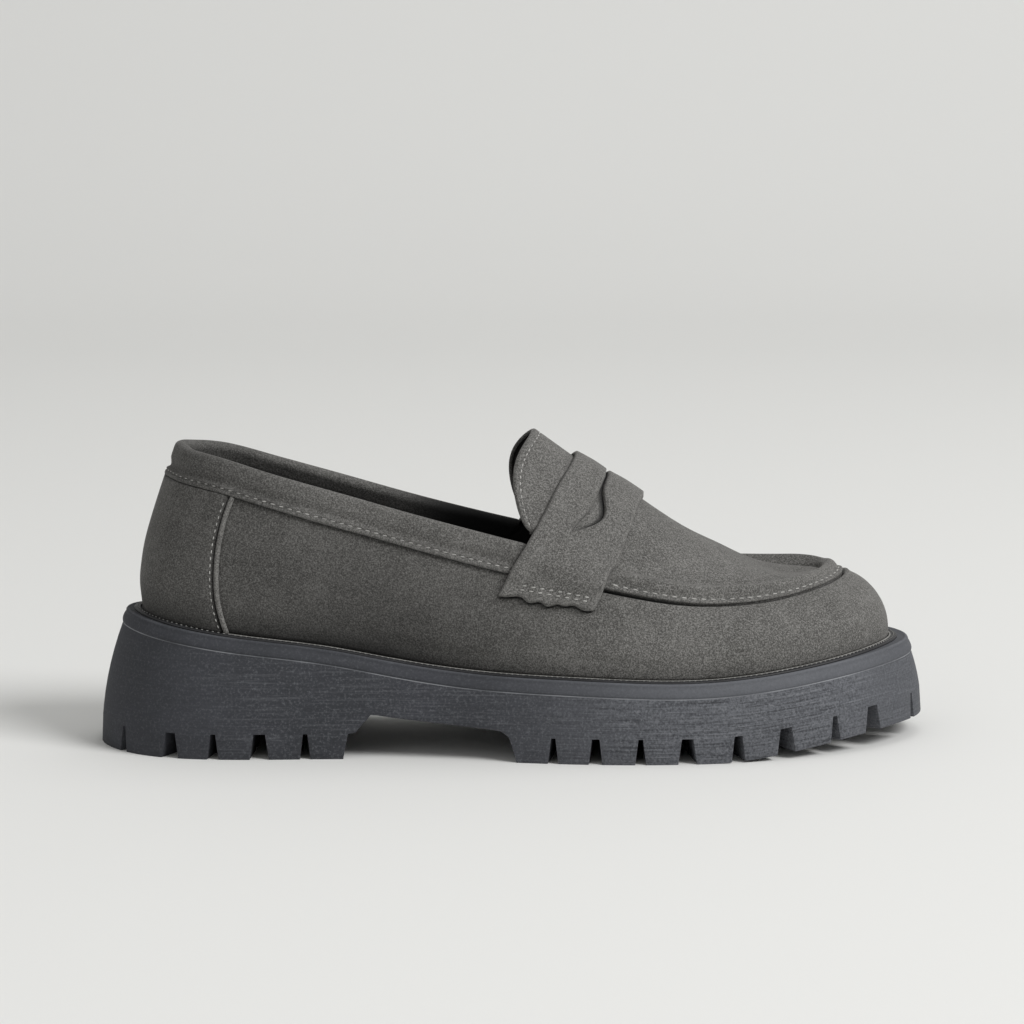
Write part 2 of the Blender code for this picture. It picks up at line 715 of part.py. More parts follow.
def make_insole():
    columns = shoe_columns(0, len(SPINES) - 1)
    bm = bmesh.new()
    rims = []
    for rise in (0.0, INSOLE_THICK):
        outer = [bm.verts.new(to_scene(bed_point(u, -INSOLE_INSET, rise))) for u in columns]
        inner = [bm.verts.new(to_scene(bed_point(1.0 - u, -INSOLE_INSET, rise)))
                 for u in columns[1:-1]]
        inner = [outer[0]] + inner + [outer[-1]]
        rims.append((outer, inner))
        for k in range(len(columns) - 1):
            face = [outer[k], outer[k + 1], inner[k + 1], inner[k]]
            bm.faces.new([v for i, v in enumerate(face) if v is not face[i - 1]])
    for low, high in zip(rims[0], rims[1]):
        for k in range(len(low) - 1):
            bm.faces.new((low[k], low[k + 1], high[k + 1], high[k]))
    add_object("insole", bm)


def tread_height(station):
    """Height of the lugs' faces over the floor: flat, then the toe spring."""
    return TOE_SPRING * smooth_step(station, TOE_SPRING_START, TOE_SPRING_START + TOE_SPRING_RUN)


def root_height(station):
    """Height of the sole's underside between its lugs, over the arch too."""
    if station <= HEEL_LUG_END or station >= FRONT_LUG_START:
        return tread_height(station) + LUG_HEIGHT
    rise = smooth_step(station, BREAST_START, BREAST_END)
    back = LUG_HEIGHT + rise * (ARCH_BACK_HEIGHT - LUG_HEIGHT)
    share = (station - BREAST_END) / (FRONT_LUG_START - BREAST_END)
    fall = (ARCH_BACK_HEIGHT - ARCH_FRONT_HEIGHT) * max(share, 0.0) ** ARCH_POWER
    arch = ARCH_BACK_HEIGHT - fall
    front = smooth_step(station, FRONT_LUG_RISE_START, FRONT_LUG_START)
    high = arch if station > BREAST_END else back
    return high + front * (LUG_HEIGHT - high)


def sole_flare(u):
    """How far the sidewall spreads from its groove to the floor."""
    half = half_place(u)
    heel = 1.0 - smooth_step(half, 0.0, HEEL_FLARE_REACH)
    toe = smooth_step(half, 0.5 - END_REACH, 0.5)
    return SIDE_FLARE + (HEEL_FLARE - SIDE_FLARE) * heel + (TOE_FLARE - SIDE_FLARE) * toe


def ledge_width(u):
    """Width of the ledge that shows round the upper."""
    half = half_place(u)
    heel = 1.0 - smooth_step(half, 0.0, END_REACH)
    toe = smooth_step(half, 0.5 - END_REACH, 0.5)
    return LEDGE_WIDTH + LEDGE_HEEL_EXTRA * heel + LEDGE_TOE_EXTRA * toe


def side_point(u, height):
    """Point of the sidewall at a height, below the groove."""
    ledge = bed_point(u, ledge_width(u), -GAP - LEDGE_DROP)
    groove_up = ledge[2] - BAND_HEIGHT - GROOVE_DROP
    floor = tread_height(ledge[0])
    share = (groove_up - height) / (groove_up - floor)
    spread = sole_flare(u) * (1.0 - (1.0 - share) ** 2)
    out = ledge_width(u) + BAND_OUT - GROOVE_DEPTH + spread
    point = foot_curve(u) + plan_outward(u) * out
    point[2] = height
    return point


def place_at(station):
    """Place u on the outer side where the tread's edge passes a station."""
    low, high = 0.0, 0.5
    for step in range(PLACE_STEPS):
        middle = 0.5 * (low + high)
        if side_point(middle, tread_height(station))[0] < station:
            low = middle
        else:
            high = middle
    return 0.5 * (low + high)


def tread_columns():
    """Columns of one side of the tread as (place, is a lug ahead, shift of the lug's foot)."""
    cuts = []
    for station, (foot_width, root_width) in LUG_GAPS:
        middle = place_at(station)
        half = 0.5 * root_width * U_PER_MM
        taper = 0.5 * (foot_width - root_width) * U_PER_MM
        cuts.append((middle - half, "gap", -taper))
        cuts.append((middle + half, "lug", taper))
    cuts.append((place_at(HEEL_LUG_END), "arch", -HEEL_LUG_TAPER * U_PER_MM))
    cuts.append((place_at(FRONT_LUG_START), "lug", FRONT_LUG_TAPER * U_PER_MM))
    cuts += [(place_at(station), "arch", 0.0) for station in ARCH_CUTS]
    cuts.sort()
    columns = [(0.0, "lug", 0.0)]
    for (place, kind, shift), after in zip(cuts, cuts[1:] + [(0.5, "", 0.0)]):
        if not columns[-1][1] == "gap":
            start, ahead = columns[-1][0], columns[-1][1]
            parts = max(1, round((place - start) / U_PER_MM / TREAD_PITCH))
            for k in range(1, parts):
                columns.append((start + (place - start) * k / parts, ahead, 0.0))
        columns.append((place, kind, shift))
    columns.append((0.5 * (columns[-1][0] + 0.5), "lug", 0.0))
    columns.append((0.5, "lug", 0.0))
    return columns


def make_outsole():
    """The unit sole: rings down its side, a bed on top, and lugs drawn down from its floor."""
    columns = tread_columns()
    half = [place for place, kind, shift in columns]
    count = len(half)
    places = half + [1.0 - u for u in reversed(half[1:-1])]
    total = len(places)
    bm = bmesh.new()

    def ring(point_at):
        return [bm.verts.new(to_scene(point_at(u))) for u in places]

    def underside(u, out_of_edge):
        edge = side_point(u, LUG_HEIGHT)
        height = root_height(edge[0])
        point = side_point(u, height)
        point -= plan_outward(u) * out_of_edge
        point[2] = root_height(point[0])
        return point

    def wall(u, share):
        ledge = bed_point(u, ledge_width(u), -GAP - LEDGE_DROP)
        top = ledge[2] - BAND_HEIGHT - GROOVE_DROP
        bottom = underside(u, 0.0)[2]
        return side_point(u, top + (bottom - top) * share)

    band_foot = -GAP - LEDGE_DROP - BAND_HEIGHT
    rings = [
        ring(lambda u: bed_point(u, -BED_EDGE, -GAP)),
        ring(lambda u: bed_point(u, WELT_OUTER + WELT_SEAT, -GAP)),
        ring(lambda u: bed_point(u, ledge_width(u) - LEDGE_ROUND_IN, -GAP - LEDGE_ROUND_DOWN)),
        ring(lambda u: bed_point(u, ledge_width(u), -GAP - LEDGE_DROP)),
        ring(lambda u: bed_point(u, ledge_width(u) + BAND_OUT, band_foot)),
        ring(lambda u: bed_point(u, ledge_width(u) + BAND_OUT - GROOVE_DEPTH,
                                 band_foot - GROOVE_DROP)),
        ring(lambda u: wall(u, WALL_MIDDLE)),
        ring(lambda u: underside(u, 0.0)),
        ring(lambda u: underside(u, LUG_RING)),
        ring(lambda u: underside(u, LUG_RING + LUG_CHANNEL)),
    ]
    for high, low in zip(rings, rings[1:]):
        for k in range(total):
            n = (k + 1) % total
            bm.faces.new((high[k], high[n], low[n], low[k]))

    def across(ring_verts):
        faces = []
        for k in range(count - 1):
            face = [ring_verts[k], ring_verts[k + 1], ring_verts[(total - k - 1) % total],
                    ring_verts[(total - k) % total]]
            faces.append(bm.faces.new([v for i, v in enumerate(face) if v is not face[i - 1]]))
        return faces

    across(rings[0])
    middle = across(rings[-1])
    bmesh.ops.recalc_face_normals(bm, faces=bm.faces)

    # Lugs: the cells of the outer ring, and bars across the middle
    bm.faces.ensure_lookup_table()
    edge_ring = len(rings) - 3
    insets = {edge_ring: 0.0, edge_ring + 1: LUG_RING - LUG_TAPER,
              edge_ring + 2: LUG_RING + LUG_CHANNEL + LUG_TAPER}
    outer_row = edge_ring * total
    lug_faces = []
    for k in range(total):
        index = k if k < count - 1 else total - 1 - k
        if columns[index][1] == "lug":
            lug_faces.append(bm.faces[outer_row + k])
    for k in range(1, count - 2):
        station = foot_curve(half[k])[0]
        if columns[k][1] == "lug" and BAR_START < station < BAR_END:
            lug_faces.append(middle[k])
    roots = {}
    for ring_index, inset in insets.items():
        for k, vert in enumerate(rings[ring_index]):
            shift = columns[k][2] if k < count else -columns[total - k][2]
            roots[tuple(round(c, 7) for c in vert.co)] = (places[k] + shift, inset)
    drawn = bmesh.ops.extrude_face_region(bm, geom=lug_faces)["geom"]
    bmesh.ops.delete(bm, geom=lug_faces, context="FACES")
    for vert in drawn:
        if not isinstance(vert, bmesh.types.BMVert):
            continue
        u, inset = roots[tuple(round(c, 7) for c in vert.co)]
        point = side_point(u, tread_height(foot_curve(u)[0])) - plan_outward(u) * inset
        point[2] = tread_height(point[0])
        vert.co = to_scene(point)
    add_object("outsole", bm)


def clear_scene():
    for obj in list(bpy.data.objects):
        bpy.data.objects.remove(obj, do_unlink=True)


def build():
    clear_scene()
    make_outsole()
    make_upper()
    make_insole()
    make_tongue()
    make_welt()
    make_apron()
    make_strap()
    make_collar_band()
    make_counter()


build()
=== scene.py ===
import math

import bmesh
import bpy
import numpy as np
from mathutils import Matrix, Vector


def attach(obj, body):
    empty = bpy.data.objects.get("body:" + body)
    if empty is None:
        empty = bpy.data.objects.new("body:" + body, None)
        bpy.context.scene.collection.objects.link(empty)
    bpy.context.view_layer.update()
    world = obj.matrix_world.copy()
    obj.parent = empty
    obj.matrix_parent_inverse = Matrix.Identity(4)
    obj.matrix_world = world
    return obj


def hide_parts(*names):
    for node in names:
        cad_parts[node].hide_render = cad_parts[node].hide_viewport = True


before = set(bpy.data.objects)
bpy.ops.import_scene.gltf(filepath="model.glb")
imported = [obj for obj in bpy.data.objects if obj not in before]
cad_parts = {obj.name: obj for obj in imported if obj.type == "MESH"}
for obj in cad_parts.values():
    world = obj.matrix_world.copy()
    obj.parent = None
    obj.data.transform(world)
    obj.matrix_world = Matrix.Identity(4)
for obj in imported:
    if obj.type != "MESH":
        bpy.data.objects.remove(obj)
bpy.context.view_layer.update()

# The shoe's own surface, the same as the solids': sizes in mm, station measured from the
# back of the sole, outer side below zero. u runs round the shoe from the heel (0) along the
# outer side to the toe (0.5) and back along the inner side. v runs up the upper: 0 foot,
# 1 bulge, 2 side, 3 seam, 4 topline, 5 middle of the vamp.
mm = 0.001
last = {
    "middleStation": 140.1,
    "middleAcross": 1.24,
    "leanRise": 65.0,
    "leanPower": 1.5,
    "flankShare": 0.42,
    "flankRise": 0.72,
    "closingRun": 12.0,
    "strapBackSpine": 8,
    "strapFrontSpine": 10,
    "counterSpine": 3,
}
gap = 0.3

footTable = [  # station, outer, inner, height
    (14.2, 0.0, 0.0, 45.3),
    (17.4, -11.6, 11.4, 44.7),
    (26.0, -21.6, 21.2, 43.0),
    (40.0, -27.2, 26.6, 40.6),
    (58.0, -29.6, 28.8, 38.4),
    (77.5, -29.9, 28.8, 35.8),
    (95.5, -30.6, 28.5, 32.5),
    (111.0, -32.2, 29.4, 30.0),
    (125.5, -34.6, 31.8, 28.4),
    (142.0, -38.2, 36.0, 27.5),
    (158.0, -41.2, 40.2, 27.0),
    (177.5, -43.2, 43.8, 26.3),
    (197.0, -42.8, 45.6, 26.0),
    (217.0, -39.6, 45.4, 27.1),
    (235.0, -32.6, 42.6, 29.0),
    (250.0, -22.8, 37.2, 30.8),
    (262.6, -8.6, 27.4, 32.2),
    (268.9, 9.4, 9.4, 32.6),
]
wallTable = [  # bulge out and up, side out and up, seam out and up, topline out and up, lean
    (-0.1, 57.0, -3.9, 74.0, -8.8, 89.0, -12.6, 99.8, 0.0),
    (0.2, 56.8, -3.6, 73.8, -8.4, 88.9, -12.2, 99.6, 0.0),
    (0.8, 56.0, -2.2, 73.0, -6.2, 88.2, -9.4, 98.6, 0.0),
    (1.4, 54.0, -0.4, 71.0, -3.0, 86.2, -5.4, 96.8, 0.0),
    (2.0, 50.0, 1.0, 66.5, -1.7, 82.0, -3.8, 91.8, 0.0),
    (2.2, 46.5, 1.7, 61.5, -0.9, 76.4, -3.0, 85.3, 5.0),
    (2.1, 42.5, 1.9, 56.5, -0.6, 70.3, -2.8, 78.6, 14.0),
    (1.9, 39.5, 1.6, 52.0, -0.7, 65.2, -3.2, 73.2, 24.0),
    (1.7, 37.5, 1.0, 49.0, -1.2, 61.2, -4.4, 68.8, 33.0),
    (1.5, 36.5, 0.2, 47.5, -3.0, 58.8, -8.0, 65.4, 33.5),
    (1.3, 35.5, -0.6, 46.0, -5.0, 56.0, -11.6, 61.6, 34.0),
    (1.2, 34.5, -1.5, 43.8, -7.4, 52.4, -14.6, 57.2, 34.0),
    (1.2, 34.0, -2.0, 42.6, -9.3, 50.3, -17.0, 54.8, 24.0),
    (1.0, 34.8, -2.3, 42.9, -10.4, 50.1, -18.2, 54.2, 10.0),
    (0.6, 36.0, -2.8, 44.0, -11.8, 50.8, -19.4, 54.0, 0.0),
    (0.2, 37.4, -3.5, 45.8, -13.4, 52.4, -21.0, 54.3, 0.0),
    (-0.2, 38.4, -4.4, 47.5, -15.0, 54.0, -22.6, 54.8, 0.0),
    (-0.5, 39.2, -5.1, 48.6, -16.0, 55.3, -23.6, 55.1, 0.0),
]
crownTable = [  # station, across, height, from the strap's back to the toe
    (158.9, 0.6, 94.1),
    (170.6, 1.2, 87.4),
    (182.2, 2.0, 79.6),
    (196.6, 3.2, 69.9),
    (208.6, 4.4, 63.8),
    (217.0, 5.4, 59.6),
    (224.2, 6.4, 56.3),
    (229.8, 7.4, 54.5),
    (233.8, 8.4, 53.5),
    (236.0, 9.2, 53.2),
]


def spline(knots, values):  # natural cubic through values at knots
    knots = np.asarray(knots, float)
    values = np.asarray(values, float)
    count = len(knots)
    steps = np.diff(knots)
    matrix = np.eye(count)
    right = np.zeros_like(values)
    for i in range(1, count - 1):
        matrix[i, i - 1] = steps[i - 1]
        matrix[i, i] = 2.0 * (steps[i - 1] + steps[i])
        matrix[i, i + 1] = steps[i]
        slope = (values[i + 1] - values[i]) / steps[i]
        right[i] = 6.0 * (slope - (values[i] - values[i - 1]) / steps[i - 1])
    bend = np.linalg.solve(matrix, right)

    def at(place):
        i = min(max(int(np.searchsorted(knots, place)) - 1, 0), count - 2)
        a = (knots[i + 1] - place) / steps[i]
        b = 1.0 - a
        cubic = (a ** 3 - a) * bend[i] + (b ** 3 - b) * bend[i + 1]
        return a * values[i] + b * values[i + 1] + cubic * steps[i] ** 2 / 6.0

    return at


def smoothStep(value, low, high):
    share = min(max((value - low) / (high - low), 0.0), 1.0)
    return share * share * (3.0 - 2.0 * share)


def bell(value, middle, width):  # 1 at the middle, soft to 0 past the width
    share = (value - middle) / width
    return math.exp(-2.0 * share * share)


runs = [0.0]
for behind, ahead in zip(footTable, footTable[1:]):
    outerRun = math.hypot(ahead[0] - behind[0], ahead[1] - behind[1])
    innerRun = math.hypot(ahead[0] - behind[0], ahead[2] - behind[2])
    runs.append(runs[-1] + 0.5 * (outerRun + innerRun))
spines = [0.5 * run / runs[-1] for run in runs]
uPerMm = 0.5 / runs[-1]
strapBack = spines[last["strapBackSpine"]]
strapFront = spines[last["strapFrontSpine"]]
strapWidth = strapFront - strapBack


def closedCurve(rowsOuter, rowsInner):
    places = spines + [1.0 - u for u in reversed(spines[1:-1])]
    rows = rowsOuter + rowsInner[-2:0:-1]
    knots = [place + turn for turn in (-1.0, 0.0, 1.0) for place in places]
    return spline(knots, np.array(rows * 3))


footCurve = closedCurve([(s, outer, z) for s, outer, inner, z in footTable],
                        [(s, inner, z) for s, outer, inner, z in footTable])


def planOutward(u):
    along = footCurve(u + 0.4 * uPerMm) - footCurve(u - 0.4 * uPerMm)
    return np.array([along[1], -along[0], 0.0]) / math.hypot(along[0], along[1])


def wallRows(level, innerSide):
    rows = []
    for i, row in enumerate(wallTable):
        u = 1.0 - spines[i] if innerSide else spines[i]
        out, height, lean = row[2 * level], row[2 * level + 1], row[-1]
        point = footCurve(u) + planOutward(u) * out
        point[0] += lean * ((height - point[2]) / last["leanRise"]) ** last["leanPower"]
        point[2] = height
        rows.append(tuple(point))
    return rows


levelCurves = [footCurve] + [closedCurve(wallRows(k, False), wallRows(k, True)) for k in range(4)]
crownPlaces = spines[last["strapBackSpine"]:]
crownPlaces = crownPlaces + [1.0 - u for u in reversed(crownPlaces[:-1])]
crownCurve = spline(crownPlaces, crownTable + crownTable[-2::-1])
formLevels = (0.0, 1.0, 2.0, 3.0, 4.0, 4.5, 5.0)
formCache = {}


def through(points):
    points = np.array(points)
    lengths = np.linalg.norm(np.diff(points, axis=0), axis=1)
    knots = np.concatenate(([0.0], np.cumsum(lengths)))
    return spline(knots, points), knots


def flankPoint(edge, crown):
    point = edge + last["flankShare"] * (crown - edge)
    point[2] = edge[2] + last["flankRise"] * (crown[2] - edge[2])
    return point


def spineForms(u):  # the open form of a spine and the one that closes over the foot
    key = round(u, 7)
    if key not in formCache:
        near = [curve(u) for curve in levelCurves]
        front = None
        if strapBack - 1e-6 <= min(u, 1.0 - u):
            far = [curve(1.0 - u) for curve in reversed(levelCurves)]
            crown = crownCurve(u)
            top = [flankPoint(near[-1], crown), crown, flankPoint(far[0], crown)]
            front = through(near + top + far)
        formCache[key] = (through(near), front)
    return formCache[key]


def halfPlace(u):
    return min(u % 1.0, 1.0 - u % 1.0)


def surfacePoint(u, v, closed=None):
    back, front = spineForms(u % 1.0)
    if closed is None:
        runEnd = strapBack + last["closingRun"] * uPerMm
        closed = smoothStep(halfPlace(u), strapBack, runEnd) if v <= 4.0 else 1.0
    point = np.zeros(3)
    for form, weight in ((back, 1.0 - closed), (front, closed)):
        if weight > 0.0:
            curve, knots = form
            known = min(len(knots), len(formLevels))
            point += weight * curve(np.interp(v, formLevels[:known], knots[:known]))
    return point


def surfaceFrame(u, v):  # point and outward normal
    lowU, highU = u - 0.3 * uPerMm, u + 0.3 * uPerMm
    overEdge = v > 4.0
    if overEdge and halfPlace(lowU) < strapBack:
        lowU = u
    if overEdge and halfPlace(highU) < strapBack:
        highU = u
    closed = 1.0 if overEdge else None
    top = 4.999 if overEdge else 4.0
    v = min(v, 4.985)
    along = surfacePoint(highU, v, closed) - surfacePoint(lowU, v, closed)
    up = surfacePoint(u, min(v + 0.015, top), closed) - surfacePoint(u, max(v - 0.015, 0.0), closed)
    normal = np.cross(along, up)
    return surfacePoint(u, v, closed), normal / np.linalg.norm(normal)


def toScene(point):
    return Vector(((point[0] - last["middleStation"]) * mm,
                   (point[1] - last["middleAcross"]) * mm, point[2] * mm))


# Shared making
joinReach = 2e-6
upright = np.array([0.0, 0.0, 1.0])


def paintedMesh(*names):  # the layers come first, because a new layer moves the vertices
    bm = bmesh.new()
    for name in names:
        bm.verts.layers.float.new(name)
    return bm


def layGrid(bm, columns, rows, pointAt):  # gives each vertex's numbers along and across the grid
    numbers = {}
    for vert in bmesh.ops.create_grid(bm, x_segments=columns, y_segments=rows, size=1.0)["verts"]:
        i = round(0.5 * (vert.co.x + 1.0) * columns)
        j = round(0.5 * (vert.co.y + 1.0) * rows)
        numbers[vert] = (i, j)
        vert.co = toScene(pointAt(i, j))
    return numbers


def joinGrid(bm, verts=None):  # makes the seams and poles of a grid one
    bmesh.ops.remove_doubles(bm, verts=verts or bm.verts, dist=joinReach)


def surfaceGrid(columns, rows, placeAt, pointAt=surfacePoint):
    # A grid laid on the shoe; the returned table gives the place of each vertex
    bm = paintedMesh("wear", "shade")
    numbers = layGrid(bm, columns, rows, lambda i, j: pointAt(*placeAt(i, j)))
    places = {vert: placeAt(*spot) for vert, spot in numbers.items()}
    joinGrid(bm)
    bm.normal_update()
    return bm, places


def liftAll(bm, places, liftAt):
    for vert, rise in [(vert, liftAt(*places[vert])) for vert in bm.verts]:
        vert.co += vert.normal * rise * mm


def paint(bm, places, name, valueAt):  # a value on each vertex for the materials
    layer = bm.verts.layers.float[name]
    for vert in bm.verts:
        if vert in places:
            vert[layer] = valueAt(*places[vert])


def finishPiece(name, bm, materials, nodes=(), wall=0.0, roundEdge=0.0, sharp=40.0):
    mesh = bpy.data.meshes.new(name)
    bm.to_mesh(mesh)
    bm.free()
    mesh.shade_smooth()
    piece = bpy.data.objects.new(name, mesh)
    bpy.context.scene.collection.objects.link(piece)
    for material in materials:
        mesh.materials.append(material)
    if wall:
        solid = piece.modifiers.new("wall", "SOLIDIFY")
        solid.thickness = wall * mm
        solid.offset = -1.0
        solid.use_even_offset = False
        if len(materials) > 1:
            solid.material_offset = 1
    if roundEdge:
        edge = piece.modifiers.new("roundEdge", "BEVEL")
        edge.width = roundEdge * mm
        edge.segments = 2
        edge.limit_method = "ANGLE"
        edge.angle_limit = math.radians(sharp)
        edge.use_clamp_overlap = True
        edge.material = -1
    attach(piece, "root")
    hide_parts(*nodes)
    return piece


stitchSizes = {  # pitch, length, width, height, how deep it sinks in, and its turn
    "cuff": (2.95, 1.7, 0.46, 0.42, 0.12, 0.14),
    "apron": (3.35, 2.1, 0.46, 0.42, 0.12, -0.12),
    "counter": (2.3, 1.2, 0.42, 0.38, 0.1, 0.0),
    "strap": (2.95, 1.6, 0.55, 0.5, 0.1, 0.15),
    "tongue": (2.4, 1.4, 0.46, 0.42, 0.1, 0.0),
    "facing": (2.6, 1.7, 0.6, 0.45, 0.1, 0.0),
    "welt": (1.9, 0.85, 0.36, 0.32, 0.08, 0.0),
}


def stitchRow(bm, line, pitch, length, width, height, sink, twist):
    # line gives a point and an outward normal for a share of its run
    count = 400
    samples = [line(k / count) for k in range(count + 1)]
    points = [sample[0] for sample in samples]
    steps = [float(np.linalg.norm(b - a)) for a, b in zip(points, points[1:])]
    total = sum(steps)
    stitches = max(1, round(total / pitch))
    covered, k = 0.0, 0
    for n in range(stitches):
        target = (n + 0.5) * total / stitches
        while k < count - 1 and covered + steps[k] < target:
            covered += steps[k]
            k += 1
        along = points[k + 1] - points[k]
        along = along / np.linalg.norm(along)
        share = (target - covered) / max(steps[k], 1e-9)
        point, normal = points[k] + (points[k + 1] - points[k]) * share, samples[k][1]
        side = np.cross(normal, along)
        side = side / np.linalg.norm(side)
        normal = np.cross(along, side)
        turned = along * math.cos(twist) + side * math.sin(twist)
        across = np.cross(normal, turned)
        place = Matrix([(*[float(axis[r]) for axis in (turned, across, normal)], 0.0)
                        for r in range(3)] + [(0.0, 0.0, 0.0, 1.0)])
        place.translation = toScene(point + normal * (height * 0.5 - sink))
        size = Matrix.Diagonal((0.5 * length * mm, 0.5 * width * mm, 0.5 * height * mm, 1.0))
        made = bmesh.ops.create_uvsphere(bm, u_segments=8, v_segments=6, radius=1.0)["verts"]
        bmesh.ops.transform(bm, matrix=place @ size, verts=made)


def tube(bm, line, count, across, upward, sides=10, closed=False):  # a soft cord
    rings = []
    for k in range(count + 1):
        point, normal = line(k / count)
        ahead, behind = [(k + 1) / count, (k - 1) / count]
        if not closed:
            ahead, behind = min(ahead, 1.0), max(behind, 0.0)
        along = line(ahead)[0] - line(behind)[0]
        side = np.cross(normal, along)
        side = side / np.linalg.norm(side)
        top = np.cross(along, side)
        rings.append((point, side, top / np.linalg.norm(top)))

    def ringPoint(i, j):
        point, side, top = rings[i]
        turn = 2.0 * math.pi * j / sides
        return point + side * math.cos(turn) * across + top * math.sin(turn) * upward

    joinGrid(bm, list(layGrid(bm, count, sides, ringPoint)))
    if not closed:
        bmesh.ops.holes_fill(bm, edges=[edge for edge in bm.edges if edge.is_boundary], sides=0)
    bmesh.ops.recalc_face_normals(bm, faces=bm.faces)


# Materials


def nodeKit(name):
    material = bpy.data.materials.new(name)
    material.use_nodes = True
    tree = material.node_tree
    shader = tree.nodes["Principled BSDF"]

    def add(kind, **values):
        node = tree.nodes.new(kind)
        for key, value in values.items():
            if key in node.inputs:
                node.inputs[key].default_value = value
            else:
                setattr(node, key, value)
        return node

    def link(a, b):
        tree.links.new(a, b)

    return material, shader, add, link


def noise(add, link, coords, scale, detail=3.0, rough=0.5):
    node = add("ShaderNodeTexNoise", Scale=scale, Detail=detail, Roughness=rough)
    link(coords, node.inputs["Vector"])
    return node.outputs["Fac"]


def remap(add, link, value, low, high, toLow, toHigh):
    node = add("ShaderNodeMapRange")
    for key, number in (("From Min", low), ("From Max", high), ("To Min", toLow), ("To Max", toHigh)):
        node.inputs[key].default_value = number
    link(value, node.inputs["Value"])
    return node.outputs["Result"]


def mixColour(add, link, factor, first, second):
    node = add("ShaderNodeMix", data_type="RGBA")
    if isinstance(factor, float):
        node.inputs[0].default_value = factor
    else:
        link(factor, node.inputs[0])
    for socket, colour in ((node.inputs[6], first), (node.inputs[7], second)):
        if isinstance(colour, tuple):
            socket.default_value = (*colour, 1.0)
        else:
            link(colour, socket)
    return node.outputs[2]


def math2(add, link, operation, a, b):
    node = add("ShaderNodeMath", operation=operation)
    for socket, value in ((node.inputs[0], a), (node.inputs[1], b)):
        if isinstance(value, float):
            socket.default_value = value
        else:
            link(value, socket)
    return node.outputs[0]


def bump(add, link, shader, layers):  # layers of height, strength and depth in mm
    normal = None
    for height, strength, depth in layers:
        node = add("ShaderNodeBump", Strength=strength, Distance=depth * mm)
        link(height, node.inputs["Height"])
        if normal:
            link(normal, node.inputs["Normal"])
        normal = node.outputs["Normal"]
    link(normal, shader.inputs["Normal"])


nubuckLook = {
    "base": (0.117, 0.114, 0.108),
    "dark": (0.082, 0.080, 0.075),
    "light": (0.160, 0.156, 0.148),
    "worn": (0.225, 0.220, 0.212),
    "fibre": (0.300, 0.294, 0.284),
    "pit": (0.030, 0.029, 0.028),
    # the colour of painted shade
    "shade": (0.011, 0.011, 0.011),
    "roughness": 0.88,
    "sheen": 0.12,
    "sheenRoughness": 0.45,
    "cloudScale": 30.0,
    "patchScale": 110.0,
    "napScale": 1750.0,
    "fineScale": 3200.0,
    "fibreAmount": 0.46,
    "pitAmount": 0.58,
    "fineFibre": 0.3,
    "finePit": 0.4,
    "grainScale": 520.0,
    "napDepth": 0.16,
}


def makeNubuck():
    look = nubuckLook
    material, shader, add, link = nodeKit("nubuck")
    coords = add("ShaderNodeTexCoord").outputs["Object"]
    cloud = noise(add, link, coords, look["cloudScale"], 4.0, 0.55)
    patch = noise(add, link, coords, look["patchScale"], 3.0, 0.6)
    nap = noise(add, link, coords, look["napScale"], 2.0, 0.7)
    fine = noise(add, link, coords, look["fineScale"], 1.0, 0.5)
    grain = noise(add, link, coords, look["grainScale"], 3.0, 0.6)
    tone = mixColour(add, link, remap(add, link, cloud, 0.36, 0.66, 0.0, 1.0),
                     look["dark"], look["base"])
    tone = mixColour(add, link, remap(add, link, patch, 0.48, 0.72, 0.0, 0.55), tone, look["light"])
    wear = add("ShaderNodeAttribute", attribute_name="wear").outputs["Fac"]
    scuff = math2(add, link, "MULTIPLY", wear, remap(add, link, grain, 0.34, 0.62, 0.25, 1.0))
    tone = mixColour(add, link, scuff, tone, look["worn"])
    for grainNoise, low, high, most, colour in (  # pale fibres and dark pits, coarse and fine
            (nap, 0.50, 0.64, look["fibreAmount"], look["fibre"]),
            (nap, 0.50, 0.36, look["pitAmount"], look["pit"]),
            (fine, 0.52, 0.66, look["fineFibre"], look["fibre"]),
            (fine, 0.48, 0.34, look["finePit"], look["pit"])):
        tone = mixColour(add, link, remap(add, link, grainNoise, low, high, 0.0, most), tone, colour)
    # painted shade: where the pieces carry it, the colour is mixed towards near black
    shade = add("ShaderNodeAttribute", attribute_name="shade").outputs["Fac"]
    tone = mixColour(add, link, shade, tone, look["shade"])
    link(tone, shader.inputs["Base Color"])
    link(remap(add, link, grain, 0.3, 0.7, look["roughness"] - 0.06, look["roughness"] + 0.06),
         shader.inputs["Roughness"])
    shader.inputs["Specular IOR Level"].default_value = 0.2
    shader.inputs["Sheen Weight"].default_value = look["sheen"]
    shader.inputs["Sheen Roughness"].default_value = look["sheenRoughness"]
    shader.inputs["Sheen Tint"].default_value = (0.9, 0.88, 0.85, 1.0)
    bump(add, link, shader, [(patch, 0.35, 0.5), (grain, 0.35, 0.12), (nap, 0.7, look["napDepth"])])
    return material


rubberLook = {
    "base": (0.047, 0.049, 0.057),
    "dark": (0.036, 0.038, 0.044),
    # front: painted light, the lighter colour of the sole towards its front
    "front": (0.104, 0.108, 0.120),
    "groove": (0.016, 0.017, 0.020),
    "light": (0.190, 0.196, 0.212),
    "worn": (0.34, 0.35, 0.37),
    "roughness": 0.72,
    "grainRun": 42.0,
    "grainLines": 1700.0,
    "patchScale": 45.0,
    "speckScale": 1250.0,
}


